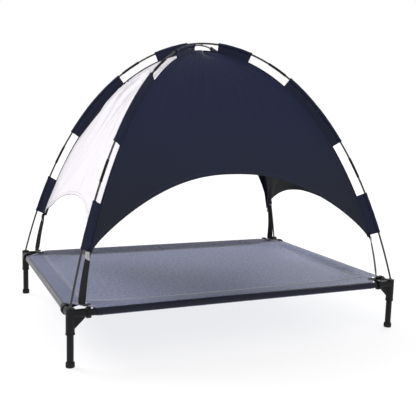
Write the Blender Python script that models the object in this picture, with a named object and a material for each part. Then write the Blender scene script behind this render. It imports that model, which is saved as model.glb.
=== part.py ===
"""Raised dog bed with a tube frame, a stretched fabric deck and a dome canopy.

Metres, +Z up.  The origin is on the floor under the middle of the bed.
+X runs along the long side, -Y is the front.
"""

import math

import bmesh
import bpy
from mathutils import Vector

# ---- driving dimensions ---------------------------------------------------

LENGTH = 1.220            # leg axis to leg axis along X
WIDTH = 0.900             # leg axis to leg axis along Y
RAIL_Z = 0.170            # height of the rails' axes
TUBE_R = 0.0110           # steel tube, outer radius
TUBE_WALL = 0.0014
FIT = 0.0004              # radial room between a tube and its socket
GAP = 0.0003              # room between pieces that touch

FOOT_R = 0.0145           # rubber foot cap
FOOT_H = 0.017
FOOT_FLOOR = 0.004

POST_R = 0.0140           # corner connector, upright socket
POST_BASE = RAIL_Z - 0.065
POST_TOP = RAIL_Z + 0.0165
LEG_TOP = RAIL_Z - 0.0155
ARM_R = 0.0138            # corner connector, level sockets
ARM_LENGTH = 0.063
COLLAR_R = 0.0180
COLLAR_WIDTH = 0.014
RAIL_START = 0.021        # from the corner axis to the end of a rail
GUSSET_REACH = 0.0610     # leg length of the web's triangle
GUSSET_THICK = 0.008
POLE_HOLE_R = 0.0042
POLE_HOLE_DEPTH = 0.0255

SWAGE_R = 0.0092          # narrowed end that joins two half rails
SWAGE_LENGTH = 0.060

FABRIC = 0.0015           # deck cloth
SLEEVE_START = 0.083      # from the corner axis to the deck's edge
HEM = 0.092               # from a rail's axis to the stitched hem
DECK_TOP = RAIL_Z + TUBE_R + FIT + 0.0012
STUD_INSET = 0.068        # from the corner axis, along the diagonal
STUD_HOLE_R = 0.0033

ROD_R = 0.0035            # fibreglass pole
ROD_BORE_R = 0.0018
CORD_R = 0.0011           # elastic cord inside the pole
FERRULE_R = 0.0048
FERRULE_HALF = 0.040
PIN_DEPTH = 0.022         # how far a pole's foot stands in its socket
FOOT_LEAN = 15.25         # pole's lean at the foot, degrees from upright
LEAN_GAIN = 29.0          # lean gained evenly along the pole, degrees
LEAN_POWER = 2.9          # how late the rest of the bend comes
POLE_SPREAD = 0.004       # each pole's shift up or down at the crossing
FERRULE_ARCS = (0.446, 0.920)
ARM_NODES = 14            # chords along half a pole

SEAM_DROP = 0.036         # from a pole's axis to the canopy's ridge seam, low down
SEAM_EASE = 0.010         # how much nearer the seam is at the crossing
SEAM_ROOM = 0.003         # between a sleeve's fin and the seam
CLOTH = 0.0012            # canopy cloth
SEAM_GAP = 0.0004
TIP_ARC = 0.170           # canopy corner, as distance along the pole
PEAK_INSET = 0.004
SLEEVE_ARCS = {"lower": (0.184, 0.342), "middle": (0.555, 0.860), "upper": (1.035, 1.170)}
SLEEVE_R = 0.0058
SLEEVE_BORE_R = 0.0045
FIN_HALF = 0.0008
ARCH_FRONT = (0.446, 2.3, 0.80)    # top arc, roundness, squareness of the arch
ARCH_REAR = (0.520, 7.0, 0.62)
ARCH_SIDE = (0.325, 2.0, 0.66)

STRAP_WIDTH = 0.024
STRAP_THICK = 0.0018
STRAP_TAB = 0.0016 + STRAP_THICK / 2     # tab's middle above the deck
SNAP_R = 0.0078
BULB_R = 0.0030

SIDES = 16
RAIL_SIDES = 12
ROD_SIDES = 6
PANEL_COLUMNS = 10
PANEL_ROWS = 10

HALF_DIAGONAL = math.hypot(LENGTH, WIDTH) / 2
CORNERS = {
    "front_left": (-1, -1),
    "front_right": (1, -1),
    "rear_right": (1, 1),
    "rear_left": (-1, 1),
}
POLES = {"a": ("front_left", "rear_right", -1), "b": ("front_right", "rear_left", 1)}


# ---- materials ------------------------------------------------------------

def linear(level):
    """One sRGB level, 0 to 255, as a linear value."""
    value = level / 255
    if value <= 0.04045:
        return value / 12.92
    return ((value + 0.055) / 1.055) ** 2.4


def finish(name, rgb, roughness, metallic=0.0):
    """A Principled material."""
    mat = bpy.data.materials.new(name)
    mat.use_nodes = True
    shader = mat.node_tree.nodes["Principled BSDF"]
    colour = [linear(level) for level in rgb] + [1.0]
    shader.inputs["Base Color"].default_value = colour
    shader.inputs["Roughness"].default_value = roughness
    shader.inputs["Metallic"].default_value = metallic
    mat.diffuse_color = colour
    return mat


def all_finishes():
    """Every material, by name."""
    return {
        "black_steel": finish("black_steel", (28, 30, 36), 0.38, 0.3),
        "black_plastic": finish("black_plastic", (20, 21, 26), 0.45),
        "rubber": finish("rubber", (16, 16, 18), 0.8),
        "deck_cloth": finish("deck_cloth", (92, 97, 122), 0.7),
        "navy_cloth": finish("navy_cloth", (38, 42, 62), 0.75),
        "pale_cloth": finish("pale_cloth", (232, 232, 240), 0.7),
        "webbing": finish("webbing", (22, 23, 28), 0.85),
        "fibreglass": finish("fibreglass", (52, 46, 42), 0.4),
        "elastic": finish("elastic", (30, 30, 32), 0.9),
        "steel": finish("steel", (190, 192, 196), 0.3, 1.0),
    }


# ---- meshes ---------------------------------------------------------------

def mesh_from(name, points, faces):
    """A closed mesh whose faces all point outwards."""
    bm = bmesh.new()
    verts = [bm.verts.new(point) for point in points]
    for face in faces:
        bm.faces.new([verts[index] for index in face])
    bmesh.ops.recalc_face_normals(bm, faces=bm.faces)
    mesh = bpy.data.meshes.new(name)
    bm.to_mesh(mesh)
    bm.free()
    return mesh


def bridge(first, second, closed=True):
    """Quads between two rings, or rows, of vertex numbers."""
    count = len(first)
    last = count if closed else count - 1
    quads = []
    for i in range(last):
        j = (i + 1) % count
        quads.append((first[i], first[j], second[j], second[i]))
    return quads


def place(axis, along, across, up):
    """A point from a distance along an axis and two across it."""
    if axis == "X":
        return (along, across, up)
    if axis == "Y":
        return (across, along, up)
    return (across, up, along)


def turned(profile, sides, axis="Z"):
    """Turn a profile of (radius, distance) round an axis.

    A profile that starts and ends on the axis gives a solid piece with
    flat ends, any other is closed on itself and gives a ring.
    """
    solid = profile[0][0] == 0
    points = []
    rings = []
    for radius, along in profile[1:-1] if solid else profile:
        ring = []
        for k in range(sides):
            angle = 2 * math.pi * k / sides
            ring.append(len(points))
            points.append(place(axis, along, radius * math.cos(angle), radius * math.sin(angle)))
        rings.append(ring)
    faces = []
    for first, second in zip(rings, rings[1:]):
        faces += bridge(first, second)
    if solid:
        faces += [rings[0][::-1], rings[-1]]
    else:
        faces += bridge(rings[-1], rings[0])
    return points, faces


def prism(outline, low, high, axis):
    """Extrude an outline of (across, up) points along an axis."""
    count = len(outline)
    points = [place(axis, low, across, up) for across, up in outline]
    points += [place(axis, high, across, up) for across, up in outline]
    bottom = list(range(count))
    top = list(range(count, 2 * count))
    return points, bridge(bottom, top) + [bottom[::-1], top]


def flipped(shape, signs):
    """Mirror a shape's points by a sign for X and one for Y."""
    points, faces = shape
    return [(x * signs[0], y * signs[1], z) for x, y, z in points], faces


def combined(name, solids, cuts=()):
    """Unite some shapes and take others away; returns a mesh."""
    helpers = []
    for number, shape in enumerate(list(solids) + list(cuts)):
        mesh = mesh_from(f"{name}_shape_{number}", *shape)
        helper = bpy.data.objects.new(mesh.name, mesh)
        bpy.context.scene.collection.objects.link(helper)
        helpers.append(helper)
    base = helpers[0]
    for number, helper in enumerate(helpers[1:], start=1):
        step = base.modifiers.new(helper.name, "BOOLEAN")
        step.object = helper
        step.operation = "UNION" if number < len(solids) else "DIFFERENCE"
    graph = bpy.context.evaluated_depsgraph_get()
    result = bpy.data.meshes.new_from_object(base.evaluated_get(graph))
    result.name = name
    for helper in helpers:
        bpy.data.objects.remove(helper)
    return result


def add_node(name, mesh, mat, location=(0, 0, 0), parent=None, smooth=True):
    """Put a named object with its material into the scene."""
    mesh.name = name
    mesh.materials.clear()
    mesh.materials.append(mat)
    if smooth:
        mesh.shade_smooth()
        mesh.set_sharp_from_angle(angle=math.radians(35))
    node = bpy.data.objects.new(name, mesh)
    bpy.context.scene.collection.objects.link(node)
    node.location = location
    node.parent = parent
    return node


def add_pivot(name, location):
    """An empty that carries the pieces of one moving body."""
    pivot = bpy.data.objects.new(name, None)
    bpy.context.scene.collection.objects.link(pivot)
    pivot.location = location
    return pivot


# ---- pole curve -----------------------------------------------------------

def pole_curve(steps=400):
    """Points (s, z, arc) from a pole's foot to the crossing.

    s is the distance from the middle along the diagonal, and the pole's
    lean grows from FOOT_LEAN at the foot to level at the crossing.
    """
    late = 90 - FOOT_LEAN - LEAN_GAIN
    leans = []
    for k in range(steps):
        u = (k + 0.5) / steps
        leans.append(math.radians(FOOT_LEAN + LEAN_GAIN * u + late * u ** LEAN_POWER))
    step = HALF_DIAGONAL / sum(math.sin(lean) for lean in leans)
    curve = [(HALF_DIAGONAL, POST_TOP, 0.0)]
    for lean in leans:
        s, z, arc = curve[-1]
        curve.append((s - step * math.sin(lean), z + step * math.cos(lean), arc + step))
    return curve


CURVE = pole_curve()
HALF_ARC = CURVE[-1][2]
POLE_RISE = CURVE[-1][1] - POST_TOP


def curve_point(arc):
    """(s, z, lean) of the smooth curve at a distance from the foot."""
    place_in_curve = min(max(arc / HALF_ARC, 0), 1) * (len(CURVE) - 1)
    index = min(int(place_in_curve), len(CURVE) - 2)
    share = place_in_curve - index
    s0, z0, _ = CURVE[index]
    s1, z1, _ = CURVE[index + 1]
    lean = math.atan2(s0 - s1, z1 - z0)
    return s0 + (s1 - s0) * share, z0 + (z1 - z0) * share, lean


def seam_drop(arc):
    """Distance from a pole's axis in to the canopy's ridge seam."""
    return SEAM_DROP - SEAM_EASE * (arc / HALF_ARC) ** 4


def seam_point(arc):
    """(s, z, lean) of the canopy's ridge seam."""
    s, z, lean = curve_point(arc)
    drop = seam_drop(arc)
    return s - drop * math.cos(lean), z - drop * math.sin(lean), lean


def pole_nodes(side):
    """The pole's chord ends as (arc, s, z), from one foot pin to the other."""
    nodes = []
    for k in range(ARM_NODES + 1):
        arc = HALF_ARC * k / ARM_NODES
        s, z, _ = curve_point(arc)
        lift = side * POLE_SPREAD * (z - POST_TOP) / POLE_RISE
        nodes.append((arc, s, z + lift))
    far = [(2 * HALF_ARC - arc, -s, z) for arc, s, z in reversed(nodes[:-1])]
    first = (-PIN_DEPTH, HALF_DIAGONAL, POST_TOP - PIN_DEPTH)
    last = (2 * HALF_ARC + PIN_DEPTH, -HALF_DIAGONAL, POST_TOP - PIN_DEPTH)
    return [first] + nodes + far + [last]


def chord_frame(nodes, arc):
    """Centre, outward normal and mitre stretch on the chords at an arc."""
    index = 0
    while index < len(nodes) - 2 and nodes[index + 1][0] <= arc + 1e-7:
        index += 1
    a0, s0, z0 = nodes[index]
    a1, s1, z1 = nodes[index + 1]
    share = (arc - a0) / (a1 - a0)
    centre = Vector((s0 + (s1 - s0) * share, z0 + (z1 - z0) * share))
    direction = Vector((s1 - s0, z1 - z0)).normalized()
    stretch = 1.0
    if index > 0 and abs(arc - a0) < 1e-6:
        before = Vector((s0 - nodes[index - 1][1], z0 - nodes[index - 1][2])).normalized()
        mitre = (before + direction).normalized()
        stretch = 1 / mitre.dot(direction)
        direction = mitre
    normal = Vector((direction.y, -direction.x))
    return centre, normal, stretch


def diagonal_point(signs, s, z, across=0.0):
    """A point in the upright plane through one corner and the middle."""
    dx = signs[0] * LENGTH / 2 / HALF_DIAGONAL
    dy = signs[1] * WIDTH / 2 / HALF_DIAGONAL
    return (s * dx - across * dy, s * dy + across * dx, z)


def with_nodes(nodes, stops):
    """Insert the chord ends between the stops of (arc, value)."""
    full = [stops[0]]
    for (arc0, value0), (arc1, value1) in zip(stops, stops[1:]):
        inner = [node[0] for node in nodes if min(arc0, arc1) + 1e-4 < node[0] < max(arc0, arc1) - 1e-4]
        if arc1 < arc0:
            inner.reverse()
        for arc in inner:
            share = (arc - arc0) / (arc1 - arc0)
            full.append((arc, value0 + (value1 - value0) * share))
        full.append((arc1, value1))
    return full


def pole_pipe(nodes, signs, profile, hollow=True):
    """Turn a profile of (arc, radius) round the pole's axis."""
    stops = with_nodes(nodes, profile + profile[:1] if hollow else profile)
    if hollow:
        stops = stops[:-1]
    points = []
    rings = []
    for arc, radius in stops:
        centre, normal, stretch = chord_frame(nodes, arc)
        ring = []
        for k in range(ROD_SIDES):
            angle = 2 * math.pi * k / ROD_SIDES
            out = radius * math.cos(angle) * stretch
            spot = centre + normal * out
            ring.append(len(points))
            points.append(diagonal_point(signs, spot.x, spot.y, radius * math.sin(angle)))
        rings.append(ring)
    faces = []
    for first, second in zip(rings, rings[1:]):
        faces += bridge(first, second)
    if hollow:
        faces += bridge(rings[-1], rings[0])
    else:
        faces += [rings[0][::-1], rings[-1]]
    return points, faces


# ---- frame ----------------------------------------------------------------

def leg_mesh():
    """Steel leg, open at both ends, standing in its foot cap."""
    bottom = FOOT_FLOOR + GAP
    bore = TUBE_R - TUBE_WALL
    profile = [(TUBE_R, bottom), (TUBE_R, LEG_TOP), (bore, LEG_TOP), (bore, bottom)]
    return mesh_from("leg", *turned(profile, SIDES))


def foot_cap_mesh():
    """Rubber cap with a closed floor."""
    edge = 0.001
    bore = TUBE_R + FIT
    profile = [
        (0, 0),
        (FOOT_R - edge, 0),
        (FOOT_R, edge),
        (FOOT_R, FOOT_H - edge),
        (FOOT_R - edge, FOOT_H),
        (bore, FOOT_H),
        (bore, FOOT_FLOOR),
        (0, FOOT_FLOOR),
    ]
    return mesh_from("foot_cap", *turned(profile, SIDES))


def socket_arm():
    """Profile of a level socket with a collar at its mouth."""
    edge = 0.001
    collar = ARM_LENGTH - COLLAR_WIDTH
    return [
        (0, 0),
        (ARM_R, 0),
        (ARM_R, collar),
        (COLLAR_R - edge, collar),
        (COLLAR_R, collar + edge),
        (COLLAR_R, ARM_LENGTH - edge),
        (COLLAR_R - edge, ARM_LENGTH),
        (0, ARM_LENGTH),
    ]


def bar(radius, low, high):
    """Profile of a plain round bar."""
    return [(0, low), (radius, low), (radius, high), (0, high)]


def raised(shape, height):
    """Lift a shape's points."""
    points, faces = shape
    return [(x, y, z + height) for x, y, z in points], faces


def connector_mesh(signs):
    """Three-way corner moulding, with its axis at x = y = 0."""
    edge = 0.0015
    post = [
        (0, POST_BASE),
        (POST_R, POST_BASE),
        (POST_R, POST_TOP - edge),
        (POST_R - edge, POST_TOP),
        (0, POST_TOP),
    ]
    root = 0.004
    web = [(root, -GUSSET_REACH + root), (GUSSET_REACH - root, -root), (root, -root)]
    web_shape = prism(web, -GUSSET_THICK / 2, GUSSET_THICK / 2, "Y")
    solids = [
        turned(post, SIDES),
        raised(turned(socket_arm(), RAIL_SIDES, "X"), RAIL_Z),
        raised(turned(socket_arm(), RAIL_SIDES, "Y"), RAIL_Z),
        raised(web_shape, RAIL_Z),
    ]
    over = 0.002
    rail_bore = bar(TUBE_R + FIT, RAIL_START - FIT, ARM_LENGTH + over)
    cuts = [
        turned(bar(TUBE_R + FIT, POST_BASE - over, LEG_TOP + FIT), SIDES),
        raised(turned(rail_bore, RAIL_SIDES, "X"), RAIL_Z),
        raised(turned(rail_bore, RAIL_SIDES, "Y"), RAIL_Z),
        turned(bar(POLE_HOLE_R, POST_TOP - POLE_HOLE_DEPTH, POST_TOP + over), SIDES // 2),
    ]
    inward = (-signs[0], -signs[1])
    return combined(
        "connector",
        [flipped(shape, inward) for shape in solids],
        [flipped(shape, inward) for shape in cuts],
    )


def short_rail_mesh():
    """One-piece rail along Y, with its middle at the origin."""
    half = WIDTH / 2 - RAIL_START
    bore = TUBE_R - TUBE_WALL
    profile = [(TUBE_R, -half), (TUBE_R, half), (bore, half), (bore, -half)]
    return mesh_from("short_rail", *turned(profile, RAIL_SIDES, "Y"))


def long_rail_mesh(side, swaged):
    """Half of a long rail along X, with the joint at the origin."""
    far = side * (LENGTH / 2 - RAIL_START)
    near = side * GAP
    bore = TUBE_R - TUBE_WALL
    profile = [(TUBE_R, far), (TUBE_R, near)]
    if swaged:
        tip = -side * SWAGE_LENGTH
        swage_bore = SWAGE_R - TUBE_WALL
        profile += [(SWAGE_R, near), (SWAGE_R, tip), (swage_bore, tip), (swage_bore, near + side * TUBE_WALL)]
        profile += [(bore, near + side * TUBE_WALL)]
    else:
        profile += [(bore, near)]
    profile += [(bore, far)]
    return mesh_from("long_rail", *turned(profile, RAIL_SIDES, "X"))


def build_frame(mats):
    """Legs, foot caps, connectors and rails."""
    for corner, signs in CORNERS.items():
        spot = (signs[0] * LENGTH / 2, signs[1] * WIDTH / 2, 0)
        pivot = add_pivot(f"{corner}_leg_pull", spot)
        add_node(f"{corner}_leg", leg_mesh(), mats["black_steel"], parent=pivot)
        add_node(f"{corner}_foot_cap", foot_cap_mesh(), mats["rubber"], parent=pivot)
        add_node(f"{corner}_connector", connector_mesh(signs), mats["black_plastic"], spot)
    for name, side in (("left", -1), ("right", 1)):
        spot = (side * LENGTH / 2, 0, RAIL_Z)
        add_node(f"{name}_rail", short_rail_mesh(), mats["black_steel"], spot)
    for face, front in (("front", -1), ("rear", 1)):
        for name, side in (("left", -1), ("right", 1)):
            mesh = long_rail_mesh(side, swaged=side > 0)
            spot = (0, front * WIDTH / 2, RAIL_Z)
            add_node(f"{face}_rail_{name}_half", mesh, mats["black_steel"], spot)


# ---- deck -----------------------------------------------------------------

def tear_outline(radius, tip, tip_z, steps=9):
    """Closed outline of cloth led round a rail and back to a hem.

    Points are (inset from the rail's axis, height over the axis).
    """
    low = math.degrees(math.acos(radius / math.hypot(tip, tip_z)))
    low_end = math.degrees(math.atan2(tip_z, tip)) - low
    start = 90.0
    finish_angle = 360 + low_end
    outline = [(tip, radius)]
    for k in range(steps + 1):
        angle = math.radians(start + (finish_angle - start) * k / steps)
        outline.append((radius * math.cos(angle), radius * math.sin(angle)))
    if tip_z < radius - 1e-6:
        outline.append((tip, tip_z))
    return outline


def deck_outline():
    """Deck with its four corners cut off square to the diagonals."""
    half_x = LENGTH / 2
    half_y = WIDTH / 2
    cut = SLEEVE_START
    return [
        (half_x - cut, -half_y),
        (half_x, -half_y + cut),
        (half_x, half_y - cut),
        (half_x - cut, half_y),
        (-half_x + cut, half_y),
        (-half_x, half_y - cut),
        (-half_x, -half_y + cut),
        (-half_x + cut, -half_y),
    ]


def rail_prism(outline, along, side, over):
    """Extrude a tear-shaped outline along a rail on one side of the deck."""
    if along == "X":
        half_width, reach = WIDTH / 2, LENGTH / 2 - SLEEVE_START
    else:
        half_width, reach = LENGTH / 2, WIDTH / 2 - SLEEVE_START
    points = [(side * (half_width - inset), RAIL_Z + height) for inset, height in outline]
    return prism(points, -reach - over, reach + over, along)


def deck_mesh():
    """Deck cloth in one piece with the four channels round the rails."""
    sheet = prism(deck_outline(), DECK_TOP - FABRIC, DECK_TOP, "Z")
    skin = DECK_TOP - RAIL_Z - GAP
    room = TUBE_R + FIT
    outer = tear_outline(skin, HEM, skin - 0.002)
    inner = tear_outline(room, SLEEVE_START, room)
    solids = [sheet]
    cuts = []
    for along in ("X", "Y"):
        for side in (-1, 1):
            solids.append(rail_prism(outer, along, side, 0))
            cuts.append(rail_prism(inner, along, side, 0.01))
    for signs in CORNERS.values():
        x, y, _ = diagonal_point(signs, HALF_DIAGONAL - STUD_INSET, 0)
        hole = turned(bar(STUD_HOLE_R, DECK_TOP - 0.01, DECK_TOP + 0.01), 8)
        cuts.append(([(px + x, py + y, pz) for px, py, pz in hole[0]], hole[1]))
    return combined("deck", solids, cuts)


def stud_mesh():
    """Press stud through the deck, with its origin on the deck's top."""
    flange = 0.0068
    neck = 0.0025
    under = -FABRIC - GAP
    profile = [
        (0, under - 0.0014),
        (flange, under - 0.0014),
        (flange, under),
        (neck, under),
        (neck, GAP),
        (flange, GAP),
        (flange, 0.0013),
        (neck, 0.0013),
        (BULB_R, 0.0045),
        (BULB_R - 0.0008, 0.0060),
        (0, 0.0060),
    ]
    return mesh_from("stud", *turned(profile, 8))


def build_deck(mats):
    """Deck cloth and the studs at its corners."""
    add_node("deck_fabric", deck_mesh(), mats["deck_cloth"], smooth=False)
    for corner, signs in CORNERS.items():
        spot = diagonal_point(signs, HALF_DIAGONAL - STUD_INSET, DECK_TOP)
        add_node(f"{corner}_deck_stud", stud_mesh(), mats["steel"], spot)


# ---- canopy poles ---------------------------------------------------------

def section_profile(start, end, first, last):
    """Profile of one pole section; all but the last carry a ferrule."""
    socket = FERRULE_R - 0.0009
    begin = -PIN_DEPTH if first else start + GAP
    outer = [(begin, ROD_R)]
    if last:
        outer += [(end + PIN_DEPTH, ROD_R), (end + PIN_DEPTH, ROD_BORE_R)]
    else:
        outer += [
            (end - FERRULE_HALF, ROD_R),
            (end - FERRULE_HALF, FERRULE_R),
            (end + FERRULE_HALF, FERRULE_R),
            (end + FERRULE_HALF, socket),
            (end, socket),
            (end, ROD_BORE_R),
        ]
    return outer + [(begin, ROD_BORE_R)]


def build_poles(mats, lift):
    """Two elastic-corded poles of five sections each."""
    far_arcs = [2 * HALF_ARC - arc for arc in reversed(FERRULE_ARCS)]
    joints = [0.0, *FERRULE_ARCS, *far_arcs, 2 * HALF_ARC]
    count = len(joints) - 1
    for pole, (near_corner, _, side) in POLES.items():
        nodes = pole_nodes(side)
        signs = CORNERS[near_corner]
        for k in range(count):
            profile = section_profile(joints[k], joints[k + 1], k == 0, k == count - 1)
            name = f"pole_{pole}_section_{k + 1}"
            mesh = mesh_from(name, *pole_pipe(nodes, signs, profile))
            add_node(name, mesh, mats["fibreglass"], parent=lift)
        end = PIN_DEPTH - 0.004
        cord = [(-end, CORD_R), (2 * HALF_ARC + end, CORD_R)]
        name = f"pole_{pole}_elastic_cord"
        mesh = mesh_from(name, *pole_pipe(nodes, signs, cord, hollow=False))
        add_node(name, mesh, mats["elastic"], parent=lift)


# ---- canopy cloth ---------------------------------------------------------

def sleeve_section(fin):
    """Outer and inner loops of a pole sleeve with its sewn fin.

    Points are (outwards, sideways); the fin points inwards.
    """
    base = math.degrees(math.asin(FIN_HALF / SLEEVE_R)) + 6
    turns = [base, 70, 125, 180, 235, 290, 360 - base]
    outer = [(-fin, -FIN_HALF), (-fin, FIN_HALF)]
    inner = []
    for turn in (-base / 2, base / 2):
        angle = math.radians(turn)
        inner.append((-SLEEVE_BORE_R * math.cos(angle), SLEEVE_BORE_R * math.sin(angle)))
    for turn in turns:
        angle = math.radians(turn)
        outer.append((-SLEEVE_R * math.cos(angle), SLEEVE_R * math.sin(angle)))
        inner.append((-SLEEVE_BORE_R * math.cos(angle), SLEEVE_BORE_R * math.sin(angle)))
    return outer, inner


def sleeve_shape(nodes, signs, start, end, side):
    """Sweep the sleeve's section along the pole's chords."""
    points = []
    outer_rings = []
    inner_rings = []
    for arc, _ in with_nodes(nodes, [(start, 0.0), (end, 0.0)]):
        centre, normal, stretch = chord_frame(nodes, arc)
        _, z, lean = curve_point(arc)
        lift = side * POLE_SPREAD * (z - POST_TOP) / POLE_RISE * math.sin(lean)
        outer, inner = sleeve_section(seam_drop(arc) + lift - SEAM_ROOM)
        for loop, rings in ((outer, outer_rings), (inner, inner_rings)):
            ring = []
            for out, across in loop:
                spot = centre + normal * (out * stretch)
                ring.append(len(points))
                points.append(diagonal_point(signs, spot.x, spot.y, across))
            rings.append(ring)
    faces = []
    for rings in (outer_rings, inner_rings):
        for first, second in zip(rings, rings[1:]):
            faces += bridge(first, second)
    faces += bridge(outer_rings[0], inner_rings[0])
    faces += bridge(outer_rings[-1], inner_rings[-1])
    return points, faces


def build_sleeves(mats, lift):
    """Three sewn sleeves on each arm of each pole."""
    for near_corner, far_corner, side in POLES.values():
        nodes = pole_nodes(side)
        for corner in (near_corner, far_corner):
            for place_name, (start, end) in SLEEVE_ARCS.items():
                shape = sleeve_shape(nodes, CORNERS[corner], start, end, side)
                name = f"{corner}_{place_name}_sleeve"
                add_node(name, mesh_from(name, *shape), mats["navy_cloth"], parent=lift)


def arch_arc(t, arch):
    """Where the arched lower edge lies, as an arc along the ridge seam."""
    top, roundness, squareness = arch
    fall = max(1 - abs(t) ** roundness, 0)
    return TIP_ARC + (top - TIP_ARC) * fall ** squareness


def panel_point(t, arc, facing, thickness):
    """A point of a canopy panel.

    t runs from -1 to 1 between the two ridge seams. facing is the
    outward direction, as a sign for X or Y.
    """
    s, z, lean = seam_point(arc)
    share_x = s * LENGTH / 2 / HALF_DIAGONAL
    share_y = s * WIDTH / 2 / HALF_DIAGONAL
    along_x, sign = facing
    reach = share_x if along_x else share_y
    ratio = (LENGTH if along_x else WIDTH) / 2 / HALF_DIAGONAL
    slope = Vector((math.cos(lean), math.sin(lean) * ratio)).normalized()
    out = sign * (reach + thickness * slope.x)
    up = z + thickness * slope.y
    side = t * ((share_y if along_x else share_x) - SEAM_GAP)
    return (out, side, up) if along_x else (side, out, up)


def panel_shape(facing, arch):
    """Closed sheet between two ridge seams, arched along its lower edge."""
    top_arc = HALF_ARC - PEAK_INSET
    points = []
    grids = []
    for thickness in (0.0, CLOTH):
        grid = []
        for i in range(PANEL_COLUMNS + 1):
            t = math.sin(math.pi * (i / PANEL_COLUMNS - 0.5))
            low = arch_arc(t, arch)
            column = []
            for k in range(PANEL_ROWS + 1):
                arc = low + (top_arc - low) * k / PANEL_ROWS
                column.append(len(points))
                points.append(panel_point(t, arc, facing, thickness))
            grid.append(column)
        grids.append(grid)
    faces = []
    for grid in grids:
        for first, second in zip(grid, grid[1:]):
            faces += bridge(first, second, closed=False)
    inner, outer = grids
    rims = [
        (inner[0], outer[0]),
        (inner[-1], outer[-1]),
        ([column[0] for column in inner], [column[0] for column in outer]),
        ([column[-1] for column in inner], [column[-1] for column in outer]),
    ]
    for first, second in rims:
        faces += bridge(first, second, closed=False)
    return points, faces


def build_panels(mats, lift):
    """Four canopy panels: navy at the front and rear, pale at the sides."""
    plan = {
        "front": ((False, -1), ARCH_FRONT, "navy_cloth"),
        "rear": ((False, 1), ARCH_REAR, "navy_cloth"),
        "left": ((True, -1), ARCH_SIDE, "pale_cloth"),
        "right": ((True, 1), ARCH_SIDE, "pale_cloth"),
    }
    for side, (facing, arch, cloth) in plan.items():
        name = f"canopy_{side}_panel"
        mesh = mesh_from(name, *panel_shape(facing, arch))
        add_node(name, mesh, mats[cloth], parent=lift)


# ---- straps ---------------------------------------------------------------

def strap_path():
    """Middle line (s, z) of a strap, from the canopy down to its tab."""
    tip_s, tip_z, _ = seam_point(TIP_ARC)
    tab_z = DECK_TOP + STRAP_TAB
    foot_s = HALF_DIAGONAL - 0.053
    bend = 0.006
    stud_s = HALF_DIAGONAL - STUD_INSET
    return [
        (tip_s - 0.0110, tip_z + 0.009),
        (tip_s - 0.0075, tip_z),
        (foot_s, tab_z + bend),
        (foot_s - bend * 0.3, tab_z + bend * 0.3),
        (foot_s - bend, tab_z),
        (stud_s - 0.013, tab_z),
    ]


def strap_mesh(signs):
    """Flat webbing with a hole in its tab for the stud."""
    path = [Vector(point) for point in strap_path()]
    points = []
    rings = []
    half = STRAP_THICK / 2
    for index, spot in enumerate(path):
        before = (spot - path[max(index - 1, 0)]).normalized()
        after = (path[min(index + 1, len(path) - 1)] - spot).normalized()
        direction = (before + after).normalized()
        stretch = 1 / max(direction.dot(after), direction.dot(before))
        normal = Vector((direction.y, -direction.x)) * half * stretch
        ring = []
        for side, across in ((1, -1), (1, 1), (-1, 1), (-1, -1)):
            point = spot + normal * side
            ring.append(len(points))
            points.append(diagonal_point(signs, point.x, point.y, across * STRAP_WIDTH / 2))
        rings.append(ring)
    faces = [rings[0][::-1], rings[-1]]
    for first, second in zip(rings, rings[1:]):
        faces += bridge(first, second)
    stud_x, stud_y, _ = diagonal_point(signs, HALF_DIAGONAL - STUD_INSET, 0)
    hole = turned(bar(BULB_R + 0.0006, DECK_TOP, DECK_TOP + 0.0045), 8)
    cut = ([(x + stud_x, y + stud_y, z) for x, y, z in hole[0]], hole[1])
    return combined("strap", [(points, faces)], [cut])


def snap_mesh():
    """Snap cap over the strap's tab, with its origin on the deck's top."""
    bottom = STRAP_TAB + STRAP_THICK / 2 + GAP
    bore = BULB_R + 0.0005
    profile = [
        (0, 0.0064),
        (bore, 0.0064),
        (bore, bottom),
        (SNAP_R, bottom),
        (SNAP_R, bottom + 0.0022),
        (SNAP_R - 0.0016, bottom + 0.0038),
        (0, bottom + 0.0038),
    ]
    return mesh_from("snap", *turned(profile, 12))


def build_straps(mats, lift):
    """Corner straps with their snap caps."""
    for corner, signs in CORNERS.items():
        name = f"{corner}_strap"
        add_node(name, strap_mesh(signs), mats["webbing"], parent=lift, smooth=False)
        spot = diagonal_point(signs, HALF_DIAGONAL - STUD_INSET, DECK_TOP)
        add_node(f"{corner}_strap_snap", snap_mesh(), mats["steel"], spot, lift)


def main():
    """Clear the scene and build the dog bed."""
    for old in list(bpy.data.objects):
        bpy.data.objects.remove(old)
    mats = all_finishes()
    build_frame(mats)
    build_deck(mats)
    lift = add_pivot("canopy_lift", (0, 0, 0))
    build_poles(mats, lift)
    build_sleeves(mats, lift)
    build_panels(mats, lift)
    build_straps(mats, lift)


main()
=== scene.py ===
"""Looks of the raised dog bed with its dome canopy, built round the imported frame."""

import math

import bmesh
import bpy
import numpy as np
from mathutils import Matrix, Vector, noise


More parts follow.
